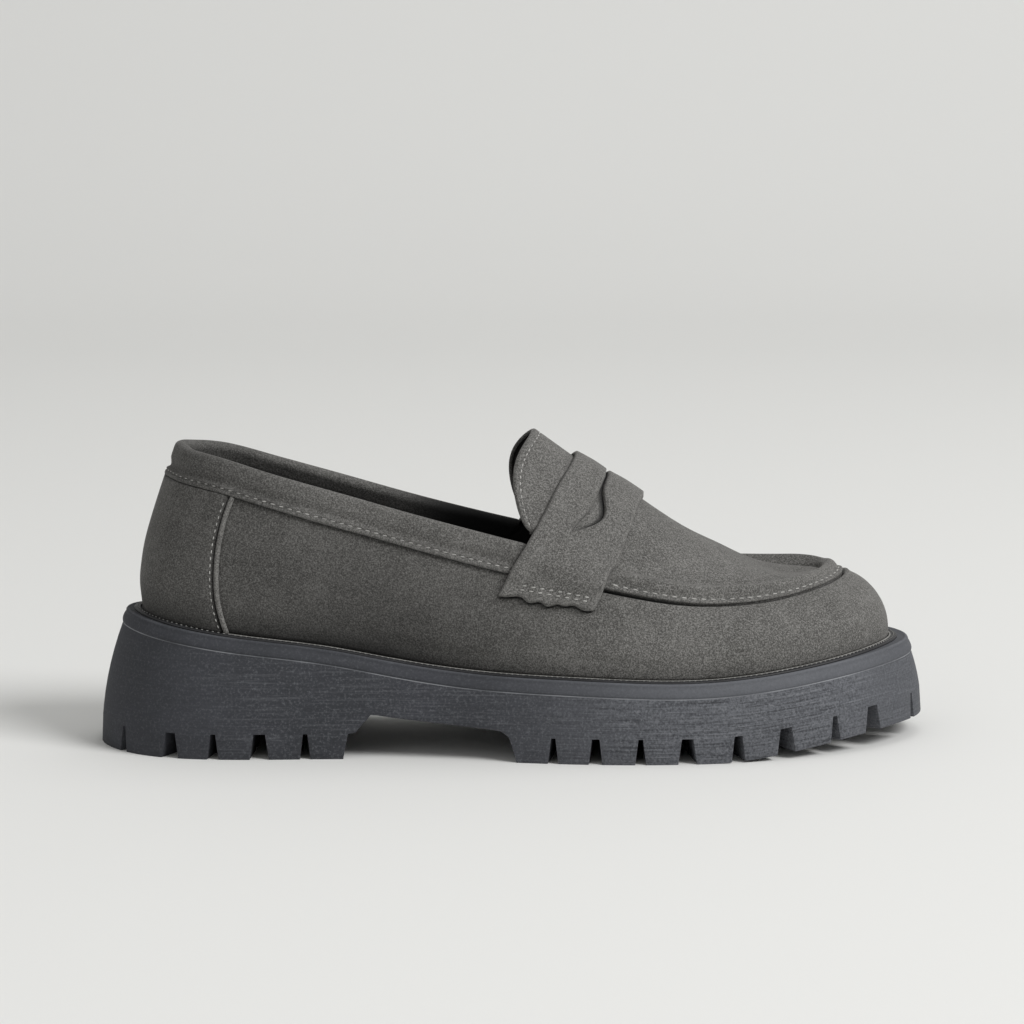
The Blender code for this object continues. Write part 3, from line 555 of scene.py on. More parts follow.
def makeRubber():
    look = rubberLook
    material, shader, add, link = nodeKit("soleRubber")
    coords = add("ShaderNodeTexCoord").outputs["Object"]
    split = add("ShaderNodeSeparateXYZ")
    link(coords, split.inputs[0])
    height, strength, ahead, wear = [
        add("ShaderNodeAttribute", attribute_name=name).outputs["Fac"]
        for name in ("grainHeight", "grainAmount", "ahead", "wear")]
    joined = add("ShaderNodeCombineXYZ")
    link(math2(add, link, "MULTIPLY", split.outputs[0], look["grainRun"]), joined.inputs[0])
    link(math2(add, link, "MULTIPLY", split.outputs[1], look["grainRun"]), joined.inputs[1])
    link(math2(add, link, "MULTIPLY", height, look["grainLines"]), joined.inputs[2])
    lines = add("ShaderNodeTexNoise", Scale=1.0, Detail=3.0, Roughness=0.7)
    link(joined.outputs[0], lines.inputs["Vector"])
    lineHeight = lines.outputs["Fac"]
    patch = noise(add, link, coords, look["patchScale"], 3.0, 0.6)
    speck = noise(add, link, coords, look["speckScale"], 2.0, 0.7)
    tone = mixColour(add, link, remap(add, link, patch, 0.35, 0.68, 0.0, 1.0),
                     look["dark"], look["base"])
    # painted light: the front of the sole is mixed towards the lighter front colour
    tone = mixColour(add, link, ahead, tone, look["front"])
    grit = math2(add, link, "ADD", math2(add, link, "MULTIPLY", strength, 0.5), 0.12)
    for amount, mark, low, high, most, colour in (  # long lines first, then the grit over them
            (strength, lineHeight, 0.53, 0.68, 0.55, look["light"]),
            (strength, lineHeight, 0.47, 0.34, 0.7, look["groove"]),
            (grit, speck, 0.53, 0.68, 0.9, look["light"]),
            (grit, speck, 0.48, 0.34, 0.9, look["groove"])):
        part = math2(add, link, "MULTIPLY", amount, remap(add, link, mark, low, high, 0.0, most))
        tone = mixColour(add, link, part, tone, colour)
    rubbed = math2(add, link, "MULTIPLY", wear, remap(add, link, patch, 0.36, 0.60, 0.25, 1.0))
    tone = mixColour(add, link, rubbed, tone, look["worn"])
    link(tone, shader.inputs["Base Color"])
    link(remap(add, link, patch, 0.3, 0.7, look["roughness"] - 0.08, look["roughness"] + 0.1),
         shader.inputs["Roughness"])
    shader.inputs["Specular IOR Level"].default_value = 0.25
    cut = math2(add, link, "MULTIPLY", lineHeight, strength)
    bump(add, link, shader, [(cut, 0.7, 0.4), (speck, 0.25, 0.08)])
    return material


def makePlain(name, colour, roughness, grainScale, depth, sheen=0.0, specular=0.4, spread=0.25):
    material, shader, add, link = nodeKit(name)
    coords = add("ShaderNodeTexCoord").outputs["Object"]
    fine = noise(add, link, coords, grainScale, 3.0, 0.6)
    broad = noise(add, link, coords, grainScale * 0.06, 2.0, 0.5)
    dark = tuple(c * (1.0 - spread) for c in colour)
    light = tuple(c * (1.0 + spread) for c in colour)
    tone = mixColour(add, link, remap(add, link, broad, 0.35, 0.65, 0.0, 1.0), dark, light)
    tone = mixColour(add, link, remap(add, link, fine, 0.4, 0.7, 0.0, 0.5), tone, light)
    link(tone, shader.inputs["Base Color"])
    link(remap(add, link, fine, 0.3, 0.7, roughness - 0.05, roughness + 0.05),
         shader.inputs["Roughness"])
    shader.inputs["Specular IOR Level"].default_value = specular
    shader.inputs["Sheen Weight"].default_value = sheen
    bump(add, link, shader, [(fine, 0.5, depth)])
    return material


nubuck = makeNubuck()
soleRubber = makeRubber()
lining = makePlain("lining", (0.014, 0.0135, 0.013), 0.85, 900.0, 0.12, specular=0.15)
thread = makePlain("thread", (0.36, 0.355, 0.34), 0.7, 2500.0, 0.05, sheen=0.1)
darkThread = makePlain("darkThread", (0.040, 0.040, 0.042), 0.6, 2500.0, 0.05)
weltRubber = makePlain("weltRubber", (0.020, 0.020, 0.022), 0.55, 1600.0, 0.12)
weltThread = makePlain("weltThread", (0.24, 0.238, 0.23), 0.7, 2500.0, 0.05)
weltEdge = makePlain("weltEdge", (0.21, 0.205, 0.195), 0.8, 1800.0, 0.1)
print("materials made")

# The creases of the upper: a place on the shoe in mm round from the heel
# (inner side below zero), a level, a half length and half width in mm, a depth and a turn
creases = [
    (148.0, 1.15, 26.0, 4.0, 0.35, 8.0),
    (170.0, 0.75, 20.0, 3.4, 0.30, -6.0),
    (196.0, 2.05, 15.0, 3.0, 0.28, 48.0),
    (206.0, 1.55, 17.0, 3.2, 0.34, 62.0),
    (216.0, 2.15, 12.0, 2.8, 0.24, 55.0),
    (120.0, 0.62, 24.0, 3.6, 0.34, 3.0),
    (88.0, 0.70, 22.0, 3.4, 0.26, -4.0),
    (96.0, 1.75, 28.0, 5.2, 0.22, 14.0),
    (64.0, 2.35, 24.0, 4.6, 0.20, -8.0),
    (250.0, 0.85, 18.0, 3.4, 0.24, -10.0),
    (-150.0, 1.10, 26.0, 4.0, 0.35, -8.0),
    (-200.0, 2.05, 15.0, 3.0, 0.30, -50.0),
    (-210.0, 1.50, 17.0, 3.2, 0.34, -60.0),
    (-118.0, 0.65, 24.0, 3.6, 0.34, -3.0),
    (-92.0, 1.75, 28.0, 5.2, 0.22, -14.0),
    (-66.0, 2.30, 24.0, 4.6, 0.20, 8.0),
]
levelMm = 17.0  # rough height of one level of the wall


def creaseLift(u, v):
    rise = 0.0
    signed = (u if u <= 0.5 else u - 1.0) / uPerMm
    for run, level, length, width, depth, turn in creases:
        dx, dy = signed - run, (v - level) * levelMm
        if abs(dx) < 2.2 * length:
            c, s = math.cos(math.radians(turn)), math.sin(math.radians(turn))
            across = dy * c - dx * s
            along = dx * c + dy * s
            rise += depth * (0.5 * bell(across, 2.0 * width, width) - bell(across, 0.0, width)
                             ) * bell(along, 0.0, length)
    return rise


# Where the strap's wavy foot and the cuff's edge run, for the pieces beside them too
strapFoot = {"places": (0.0, 0.1, 0.22, 0.34, 0.43, 0.53, 0.61, 0.69, 0.77, 0.89, 1.0),
             "levels": (2.37, 2.385, 2.42, 2.295, 2.345, 2.25, 2.33, 2.31, 2.355, 2.265, 2.30)}
cuffLine = {"level": 3.10, "drop": 0.13, "dropStart": 38.0, "dropEnd": 78.0}
strapFootCurve = spline(strapFoot["places"], strapFoot["levels"])


def scallopLevel(share, side):  # cut by hand, so its waves are uneven
    return float(strapFootCurve(share if side < 0 else 1.0 - share))


def cuffEdge(u):
    run = halfPlace(u) / uPerMm
    fallen = smoothStep(run, cuffLine["dropStart"], cuffLine["dropEnd"])
    return cuffLine["level"] - cuffLine["drop"] * fallen


# Upper
upperShape = {"columns": 430, "wall": 1.1, "lipTrough": 1.6, "cuffTrough": 0.3, "topInset": 0.8,
              "heelTuck": 1.2, "strapGap": 0.5}
throatShare = 0.1
upperRows = list(np.linspace(0.0, 2.16, 25)) + list(np.linspace(2.19, 2.49, 11)) + [
    2.56, 2.64, 2.72, 2.80, 2.86] + list(np.linspace(2.90, 3.06, 9)) + [3.10, 3.14]


def throatLevel(u):
    return 4.0 + smoothStep(halfPlace(u), strapBack, strapBack + throatShare * strapWidth)


def lipShare(u, v):  # 1 in the gap under the apron's edge, wide at the strap and thin at the toe
    half = halfPlace(u)
    inFront = smoothStep(half, strapFront - 3.0 * uPerMm, strapFront + 0.5 * uPerMm)
    wide = 0.085 - 0.04 * smoothStep(half, strapFront, 0.44)
    return inFront * (1.0 - smoothStep(abs(v - 2.965), 0.45 * wide, wide))


def underStrap(u, v):  # 1 in the gap under the strap's wavy edge
    share = (halfPlace(u) - strapBack) / strapWidth
    low = scallopLevel(min(max(share, 0.0), 1.0), -1 if u % 1.0 < 0.5 else 1)
    inside = smoothStep(share, -0.02, 0.03) * (1.0 - smoothStep(share, 0.97, 1.02))
    return inside * (1.0 - smoothStep(abs(v - low + 0.005), 0.02, 0.055))


def upperLift(u, v):
    shape = upperShape
    half = halfPlace(u)
    inFront = smoothStep(half, strapFront - 4.0 * uPerMm, strapFront + 3.0 * uPerMm)
    lip = -shape["lipTrough"] * lipShare(u, v)
    raised = 0.55 * inFront * smoothStep(half, 0.36, 0.47) * bell(v, 2.85, 0.06)
    cuff = -shape["cuffTrough"] * (1.0 - inFront) * bell(v, cuffEdge(u) - 0.015, 0.035)
    feather = -0.9 * (1.0 - smoothStep(v, 0.0, 0.09))
    hidden = -shape["topInset"] * smoothStep(v, 3.14, 3.24)
    strap = -shape["strapGap"] * underStrap(u, v)
    return creaseLift(u, v) + heelTuck(u, v) + lip + cuff + raised + feather + hidden + strap


def rearShade(u, v):  # painted shade: the heel, the waist and the foot of the upper darker than the toe, as if less light reached them
    run = halfPlace(u) / uPerMm
    rear = 1.0 - smoothStep(run, 80.0, 195.0)
    waist = bell(run, 100.0, 55.0) * (1.0 - smoothStep(v, 1.2, 2.6))
    low = 1.0 - smoothStep(v, 0.0, 1.1)
    foot = 0.4 * (1.0 - smoothStep(v, 0.0, 0.14))
    return min(rear * (0.34 + 0.34 * low) + 0.22 * waist + foot, 1.0)


def heelTuck(u, v):  # the heel draws in towards its foot
    run = halfPlace(u) / uPerMm
    low = upperShape["heelTuck"] * (1.0 - smoothStep(v, 0.0, 1.1))
    return -(low + 0.4 * bell(v, 1.1, 0.6)) * bell(run, 0.0, 14.0)


# Painted shade on the upper: the rear darkening, and painted shadow in the gaps under the apron's edge and
# the strap's foot
def upperShade(u, v):
    behindStrap = 1.0 - smoothStep(halfPlace(u), strapBack, strapFront)
    # a thin painted shadow line under the cuff's edge
    seam = 0.7 * bell(v, cuffEdge(u) - 0.012, 0.02) * behindStrap
    return min(max(rearShade(u, v), lipShare(u, v), 0.95 * underStrap(u, v), seam), 1.0)


def makeUpper():
    columns = upperShape["columns"]
    above = 14
    rows = len(upperRows) - 1 + above

    def placeAt(i, j):
        u = i / columns
        if j < len(upperRows):
            return u, float(upperRows[j])
        share = (j - len(upperRows) + 1) / above
        return u, upperRows[-1] + (throatLevel(u) - upperRows[-1]) * share

    bm, places = surfaceGrid(columns, rows, placeAt)
    liftAll(bm, places, upperLift)

    def wearAt(u, v):
        run = halfPlace(u) / uPerMm
        mark = 0.0
        for start, level, length, height, amount in scuffs:
            mark += amount * bell(run, start, length) * bell(v, level, height)
        return min(mark, 0.9)

    paint(bm, places, "wear", wearAt)
    paint(bm, places, "shade", upperShade)
    return finishPiece("upper", bm, [nubuck], ["upper"], wall=upperShape["wall"])


scuffs = [  # run from the heel, level, length, height in levels, amount
    (276.0, 1.95, 13.0, 0.26, 0.42),
    (262.0, 1.50, 11.0, 0.22, 0.30),
    (292.0, 1.55, 6.0, 0.30, 0.26),
    (284.0, 2.55, 16.0, 0.20, 0.22),
    (236.0, 1.70, 18.0, 0.30, 0.14),
    (190.0, 1.30, 20.0, 0.40, 0.12),
    (110.0, 2.00, 34.0, 0.35, 0.10),
]
makeUpper()
print("upper made")


# Lining
liningShape = {"columns": 260, "rows": 36, "offset": 2.0, "thick": 0.5, "foot": 0.10, "below": 0.03}


def makeLining():
    shape = liningShape

    def placeAt(i, j):
        u = i / shape["columns"]
        top = throatLevel(u) - shape["below"]
        return u, shape["foot"] + (top - shape["foot"]) * j / shape["rows"]

    bm, places = surfaceGrid(shape["columns"], shape["rows"], placeAt)
    liftAll(bm, places, lambda u, v: -shape["offset"])
    return finishPiece("lining", bm, [lining], wall=shape["thick"])


makeLining()
print("lining made")

# Apron, the raised plug of the vamp with its rolled rim
apronShape = {"wall": 1.5, "tuck": 5.0, "bead": 1.7, "beadLevel": 3.55, "stitchLevel": 3.185,
              "crease": 0.8, "creaseLevel": 3.98, "plateDrop": 1.0, "edge": 0.85, "farRim": 1.8}


def apronLift(u, v):
    shape = apronShape
    half = halfPlace(u)
    grow = smoothStep(half, strapFront - 1.0 * uPerMm, strapFront + 7.0 * uPerMm)
    toe = smoothStep(half, 0.40, 0.5)
    far = smoothStep(half, 0.30, 0.36) * (1.0 - 0.9 * smoothStep(half, 0.42, 0.475)) if u > 0.5 else 0.0
    edge = math.sqrt(max(1.0 - (1.0 - min(max(v - 3.0, 0.0) / 0.05, 1.0)) ** 2, 0.0))
    rise = shape["edge"] * edge + (gap + shape["wall"] - shape["edge"]) * smoothStep(v, 3.16, 3.4)
    rise -= grow * 0.3 * bell(v, shape["stitchLevel"], 0.04)
    rise += grow * (shape["bead"] - 0.6 * toe + shape["farRim"] * far) * bell(v, shape["beadLevel"], 0.30)
    rise -= grow * shape["crease"] * bell(v, shape["creaseLevel"], 0.12)
    rise -= grow * smoothStep(half, 0.33, 0.43) * shape["plateDrop"] * smoothStep(v, 3.8, 4.1)
    return rise


def makeApron():
    start = strapFront - apronShape["tuck"] * uPerMm
    columns = 250
    levels = [3.0, 3.008, 3.022, 3.045, 3.075] + list(np.linspace(3.11, 4.2, 22)) + list(
        np.linspace(4.26, 5.0, 22))

    def placeAt(i, j):
        return start + (1.0 - 2.0 * start) * i / columns, float(levels[j])

    def shadeAt(u, v):  # painted shade in the far side's crease behind the rim
        if u <= 0.5:
            return 0.0
        crease = bell(v, apronShape["creaseLevel"] - 0.02, 0.06)
        return 0.5 * crease * smoothStep(halfPlace(u), 0.40, 0.46)

    bm, places = surfaceGrid(columns, len(levels) - 1, placeAt)
    liftAll(bm, places, apronLift)
    tip = [vert for vert in bm.verts if vert in places
           and places[vert][1] > 4.4 and halfPlace(places[vert][0]) > 0.468]
    bmesh.ops.remove_doubles(bm, verts=tip, dist=0.45 * mm)  # the columns meet at the crown's front end
    for _ in range(24):
        bmesh.ops.smooth_vert(bm, verts=[vert for vert in bm.verts if vert in places
                                         and places[vert][1] > 4.3 and halfPlace(places[vert][0]) > 0.462],
                              factor=0.5, use_axis_x=True, use_axis_y=True, use_axis_z=True)
    paint(bm, places, "wear", lambda u, v: 0.22 * bell(v, 3.02, 0.04) + 0.12 * bell(v, 3.6, 0.2))
    paint(bm, places, "shade", shadeAt)
    return finishPiece("apron", bm, [nubuck], ["apron"], wall=1.1)


makeApron()
print("apron made")

# Tongue
tongueShape = {"wall": 1.7, "length": 16.9, "pitch": 36.0, "lowLevel": 4.12, "round": 1.5,
               "curl": 1.6}


def tonguePoint(u, v, closed=None):
    if halfPlace(u) >= strapBack:
        return surfacePoint(u, v, closed)
    root = strapBack if u < 0.5 else 1.0 - strapBack
    run = (strapBack - halfPlace(u)) / uPerMm
    pitch = math.radians(tongueShape["pitch"])
    point = surfacePoint(root, max(v, 4.0001)) + np.array([-math.cos(pitch), 0.0, math.sin(pitch)]) * run
    spread = (5.0 - v) / (5.0 - tongueShape["lowLevel"])
    point[2] -= tongueShape["curl"] * spread ** 2 * (run / tongueShape["length"]) ** 2
    return point


def tongueReach(across):
    return tongueShape["length"] * math.sqrt(max(1.0 - abs(across) ** tongueShape["round"], 0.0))


def tonguePlace(back, across):  # back: 0 at the free edge to 1 under the strap
    front = strapFront - (apronShape["tuck"] + 2.0 * gap) * uPerMm
    tip = strapBack - tongueReach(across) * uPerMm
    u = tip + (front - tip) * back
    v = 5.0 - (5.0 - tongueShape["lowLevel"]) * abs(across)
    return (u if across <= 0.0 else 1.0 - u), v


def makeTongue():
    along, wide = 120, 96

    def placeAt(i, j):
        back = (i / along) ** 1.5
        across = math.sin(math.pi * (j / wide - 0.5))
        return tonguePlace(back, across)

    bm, places = surfaceGrid(along, wide, placeAt, tonguePoint)

    def lift(u, v):
        tip = strapBack - tongueReach((5.0 - v) / (5.0 - tongueShape["lowLevel"])) * uPerMm
        fromEdge = (halfPlace(u) - tip) / uPerMm
        side = (v - tongueShape["lowLevel"]) * 32.0
        edge = min(max(min(fromEdge, side) / 1.2, 0.0), 1.0)
        seam = 0.25 * bell(fromEdge, 2.9, 0.45)
        return gap + 0.4 + (tongueShape["wall"] - 0.4) * math.sqrt(1.0 - (1.0 - edge) ** 2) - seam

    liftAll(bm, places, lift)

    def shadeAt(u, v):  # the shadow that the raised front of the strap throws in its slot
        if v < strapShape["slotLow"]:
            return 0.0
        front = strapPlace(float(slotFrontCurve(v)), v)
        back = (front - halfPlace(u)) / uPerMm
        return 0.9 * (1.0 - smoothStep(back, 0.5, 2.6)) * smoothStep(v, 4.2, 4.3)

    paint(bm, places, "wear", lambda u, v: 0.12)
    paint(bm, places, "shade", shadeAt)
    return finishPiece("tongue", bm, [nubuck, lining], ["tongue"], wall=1.2)


# Saddle strap with its slot and wavy ends
strapShape = {"wall": 1.8, "bow": 3.7, "bowPower": 1.6, "frontOut": 1.4, "frontIn": 1.3,
              "slotLow": 4.2, "slotSink": 0.8, "pinch": 0.45}
slotLevels = (4.2, 4.30, 4.37, 4.45, 4.55, 4.66, 4.75, 5.0)
slotBackCurve = spline(slotLevels, (0.365, 0.415, 0.452, 0.482, 0.492, 0.488, 0.480, 0.470))
slotFrontCurve = spline(slotLevels, (0.392, 0.575, 0.640, 0.645, 0.593, 0.525, 0.500, 0.488))


def strapPlace(share, v):  # how far round the shoe, with the bowed edges of the strap
    shape = strapShape
    over = max(math.sin(math.pi * max(v - 4.0, 0.0)), 0.0)
    back = shape["bow"] * over ** shape["bowPower"]
    front = shape["frontOut"] * bell(v, 4.47, 0.25) - shape["frontIn"] * bell(v, 3.5, 0.7)
    return strapBack + (back + (strapWidth / uPerMm + front - back) * share) * uPerMm


def strapSeat(u, v):
    raised = gap + 1.7 + 0.45
    half = halfPlace(u)
    overApron = smoothStep(half, strapBack, strapFront - (apronShape["tuck"] + 1.0) * uPerMm)
    stepEnd = 3.9 + (3.0 - 3.9) * overApron
    seat = gap + (raised - gap) * smoothStep(v, 2.55, stepEnd)
    overCuff = (1.0 - smoothStep(half, strapBack, strapBack + 6.0 * uPerMm)) * smoothStep(v, 2.75, 3.05)
    return seat + (2.15 - seat) * overCuff if seat < 2.15 else seat


def makeStrap():
    shape = strapShape
    backCells, slotCells, frontCells = 20, 12, 18
    columns = backCells + slotCells + frontCells
    slotRows, lowRows = 34, 50
    rows = 2 * (slotRows + lowRows)
    widthMm = strapWidth / uPerMm

    def placeAt(i, j):  # u, level, share of the width, and the cell's own numbers
        side = -1 if j <= rows // 2 else 1
        k = abs(j - rows // 2)
        above = 1.0 - min(k / slotRows, 1.0)
        v = shape["slotLow"] + (5.0 - shape["slotLow"]) * above ** 1.35
        back, front = float(slotBackCurve(v)), float(slotFrontCurve(v))
        if i <= backCells:
            share = back * i / backCells
        elif i <= backCells + slotCells:
            share = back + (front - back) * (i - backCells) / slotCells
        else:
            share = front + (1.0 - front) * (i - backCells - slotCells) / frontCells
        if k > slotRows:
            down = (k - slotRows) / lowRows
            share += (i / columns - share) * smoothStep(down, 0.0, 0.35)
            v = shape["slotLow"] + (scallopLevel(share, side) - shape["slotLow"]) * down
        u = strapPlace(share, v)
        return (u if side < 0 else 1.0 - u), v, share, i, k

    bm, places = surfaceGrid(columns, rows, placeAt, lambda u, v, share, i, k: surfacePoint(u, v))
    inSlot = [face for face in bm.faces
              if all(backCells <= places[vert][3] <= backCells + slotCells
                     and places[vert][4] <= slotRows for vert in face.verts)]

    def reaches(u, v, share, i, k):  # mm from the sides, the wavy foot and the slot
        side = -1 if u < 0.5 else 1
        toSides = min(share, 1.0 - share) * widthMm
        toLow = (v - scallopLevel(share, side)) * levelMm
        toSlot = 99.0
        if k <= slotRows:
            if i <= backCells:
                toSlot = (float(slotBackCurve(v)) - share) * widthMm
            elif i >= backCells + slotCells:
                toSlot = (share - float(slotFrontCurve(v))) * widthMm
            else:
                toSlot = 0.0
        return toSides, toLow, toSlot

    def lift(u, v, share, i, k):
        toSides, toLow, toSlot = reaches(u, v, share, i, k)
        edge = 1.0
        for distance, radius in ((toSides, 1.2), (toLow, 0.5), (toSlot, 0.9)):
            part = min(max(distance / radius, 0.0), 1.0)
            edge = min(edge, math.sqrt(max(1.0 - (1.0 - part) ** 2, 0.0)))
        pressed = 0.2 * sum(bell(v, stitchLevel(share, row), 0.035) for row in strapStitches["rows"])
        pressed *= smoothStep(share, 0.08, 0.18)
        pinch = shape["pinch"] * bell(share, 0.5, 0.22) * smoothStep(v, 4.0, 4.5)
        sink = shape["slotSink"] * bell(share, 0.46, 0.14) * bell(v, 4.16, 0.13)
        return strapSeat(u, v) + 0.5 + (shape["wall"] - 0.5) * edge - pressed - pinch - sink

    liftAll(bm, places, lift)

    def wearAt(*place):
        toSides, toLow, toSlot = reaches(*place)
        share = place[2]
        return min(0.5 * bell(toSides, 0.6, 0.9) + 0.3 * bell(toLow, 0.2, 0.7)
                   + 0.35 * bell(toSlot, 0.4, 0.7) + 0.24 * bell(share, 0.13, 0.10)
                   + 0.14 * bell(share, 0.85, 0.12), 0.8)

    paint(bm, places, "wear", wearAt)
    bmesh.ops.delete(bm, geom=inSlot, context="FACES")
    return finishPiece("saddleStrap", bm, [nubuck], ["saddle_strap"], wall=1.3)


strapStitches = {"rows": (0.0, 0.108), "level": 2.711, "fall": 0.138, "start": 0.152,
                 "first": 0.155, "run": 0.76}


def stitchLevel(share, row):
    return strapStitches["level"] - strapStitches["fall"] * (share - strapStitches["start"]) - row


makeTongue()
print("tongue made")
makeStrap()
print("strap made")

# Heel counter with its corded edge
counterShape = {"wall": 1.0, "foot": 0.03, "top": 3.075, "curve": 4.6, "ahead": 4.0, "bowLevel": 1.35,
                "bowSpan": 1.6, "bowRest": 0.4}


def counterEdge(v):
    bow = 1.0 - ((v - counterShape["bowLevel"]) / counterShape["bowSpan"]) ** 2
    ahead = counterShape["ahead"] + counterShape["curve"] * (counterShape["bowRest"] - bow)
    return spines[last["counterSpine"]] + ahead * uPerMm


def makeCounter():
    shape = counterShape
    columns, rows = 84, 40

    def placeAt(i, j):
        v = shape["foot"] + (shape["top"] - shape["foot"]) * j / rows
        return (2.0 * i / columns - 1.0) * (counterEdge(v) - 1.6 * uPerMm), v

    bm, places = surfaceGrid(columns, rows, placeAt)

    def lift(u, v):
        fromEdge = (counterEdge(v) - halfPlace(u)) / uPerMm
        seam = 0.25 * bell(fromEdge, 2.5, 0.7)
        return gap + shape["wall"] * smoothStep(fromEdge, 1.2, 2.2) - seam + heelTuck(u % 1.0, v)

    # painted shade: the rear darkening and a thin painted shadow line along the counter's edge beside the
    # cord
    def shadeAt(u, v):
        fromEdge = (counterEdge(v) - halfPlace(u)) / uPerMm
        return min(rearShade(u % 1.0, v) + 0.4 * bell(fromEdge, 1.5, 0.35), 1.0)

    liftAll(bm, places, lift)
    paint(bm, places, "shade", shadeAt)
    return finishPiece("heelCounter", bm, [nubuck], ["heel_counter"], wall=0.9)


pipingShape = {"foot": 0.05, "rise": 3.02, "behind": 0.55, "lift": 0.55, "rings": 60,
               "across": 0.88, "upward": 0.9, "wear": 0.35}


def makePiping():
    shape = pipingShape
    bm = paintedMesh("wear", "shade")
    for side in (-1, 1):
        def line(share):
            v = shape["foot"] + shape["rise"] * share
            u = counterEdge(v) - shape["behind"] * uPerMm
            point, normal = surfaceFrame(u if side < 0 else 1.0 - u, v)
            return point + normal * shape["lift"], normal
        tube(bm, line, shape["rings"], shape["across"], shape["upward"])
    layer = bm.verts.layers.float["wear"]
    for vert in bm.verts:
        vert[layer] = shape["wear"]
    return finishPiece("heelPiping", bm, [nubuck])


makeCounter()
makePiping()
print("counter made")

# Collar band, the padded cuff rolled over the topline
cuffShape = {"columns": 330, "gap": 0.4, "flange": 1.15, "pad": 0.9, "stitchUp": 0.17,
             "depth": 8.5, "innerPad": 1.9, "tuck": 4.0, "underStrap": 0.62}
cuffShares = (0.0, 0.03, 0.07, 0.12, 0.16, 0.19, 0.22, 0.26, 0.32, 0.40, 0.50, 0.60, 0.70, 0.80, 0.90, 0.97)


def cuffSection(u, squeeze):
    shape = cuffShape
    rim, out = surfaceFrame(u, 4.0)
    below = surfacePoint(u, 3.85)
    up = (rim - below) / np.linalg.norm(rim - below)
    low = cuffEdge(u)
    points = [surfacePoint(u, low) + surfaceFrame(u, low + 0.02)[1] * shape["gap"]]
    for share in cuffShares:
        point, normal = surfaceFrame(u, low + (4.0 - low) * share)
        turn = math.sqrt(1.0 - (1.0 - min(0.35 + share / 0.07, 1.0)) ** 2)
        rise = shape["flange"] * turn - 0.5 * bell(share, shape["stitchUp"], 0.035)
        rise -= shape["flange"] * smoothStep(share, 0.2, 0.32)
        rise += shape["pad"] * smoothStep(share, 0.38, 0.66)
        points.append(point + normal * (shape["gap"] + rise * squeeze))
    wall = upperShape["wall"]
    centre = rim - out * 0.5 * wall
    reach = 0.5 * wall + shape["gap"] + shape["pad"] * squeeze
    innerReach = 0.5 * wall + shape["gap"] + shape["innerPad"] * squeeze
    for angle in (20, 42, 64, 86, 108, 130, 152, 172):
        c, s = math.cos(math.radians(angle)), math.sin(math.radians(angle))
        side = reach if c > 0 else innerReach
        points.append(centre + out * c * side + up * s * (0.45 * wall + shape["gap"] + 1.1 * squeeze))
    for share in (0.08, 0.2, 0.35, 0.5, 0.62, 0.68, 0.74, 0.86, 0.95, 1.0):
        thick = shape["innerPad"] * (1.0 - 0.45 * share) - 0.5 * bell(share, 0.68, 0.05)
        thick *= 1.0 if share < 0.99 else 0.4
        points.append(centre - out * (0.5 * wall + shape["gap"] + thick * squeeze)
                      - up * shape["depth"] * share)
    inside = centre - out * (0.5 * wall + shape["gap"])
    points.append(inside - up * shape["depth"])
    points.append(inside - up * 0.5 * shape["depth"])
    points.append(inside + up * shape["gap"])
    points.append(centre + out * (0.5 * wall + shape["gap"]) + up * shape["gap"])
    mid, midOut = surfaceFrame(u, 3.5)
    points.append(mid + midOut * shape["gap"])
    return points


def makeCuff():
    end = strapBack + cuffShape["tuck"] * uPerMm
    columns = cuffShape["columns"]
    sections = []
    for i in range(columns + 1):
        u = -end + 2.0 * end * i / columns
        under = (halfPlace(u) - strapBack) / uPerMm
        squeeze = 1.0 - cuffShape["underStrap"] * smoothStep(under, -1.6, 1.0)
        sections.append(cuffSection(u, squeeze))
    rows = len(sections[0])
    bm = paintedMesh("wear", "shade")
    numbers = layGrid(bm, columns, rows, lambda i, j: sections[i][j % rows])
    joinGrid(bm)
    bmesh.ops.holes_fill(bm, edges=[edge for edge in bm.edges if edge.is_boundary], sides=0)
    bmesh.ops.recalc_face_normals(bm, faces=bm.faces)
    wear, shade = bm.verts.layers.float["wear"], bm.verts.layers.float["shade"]
    for vert in bm.verts:
        station = vert.co.x / mm + last["middleStation"]
        row = numbers.get(vert, (0, 0))[1]
        vert[wear] = 0.22 if row in (1, 2, 3) else 0.16 if 17 <= row <= 22 else 0.0
        # painted shade: the inside of the collar, the far side's roll towards the strap and the heel end
        # are darkened
        inner = 0.75 if row > 27 else 0.45 if row > 24 else 0.0
        deep = smoothStep(station, 82.0, 122.0) if vert.co.y > 0.0 and row > 19 else 0.0
        rear = 0.45 - 0.33 * smoothStep(station, 15.0, 90.0)
        vert[shade] = min(max(inner, deep, rear), 1.0)
    cuff = finishPiece("collarBand", bm, [nubuck], ["collar_band"])
    return cuff


makeCuff()
print("collar band made")


# Welt: the light edge against the upper, and the dark stitched strip beside it
def bedPoint(u, out, rise):
    point = footCurve(u) + planOutward(u) * out
    point[2] += rise
    return point


weltShape = {"columns": 520, "beadOut": 0.5, "beadIn": 0.8, "beadRise": 0.2, "bead": 0.40,
             "dashOut": 1.8, "dashRise": 0.5}
weltProfile = [(0.6, -0.3), (0.6, 0.2), (0.9, 0.42), (1.5, 0.5), (2.3, 0.45), (2.75, 0.3),
               (2.95, 0.05), (2.95, -0.3)]  # out from the upper's foot, and up


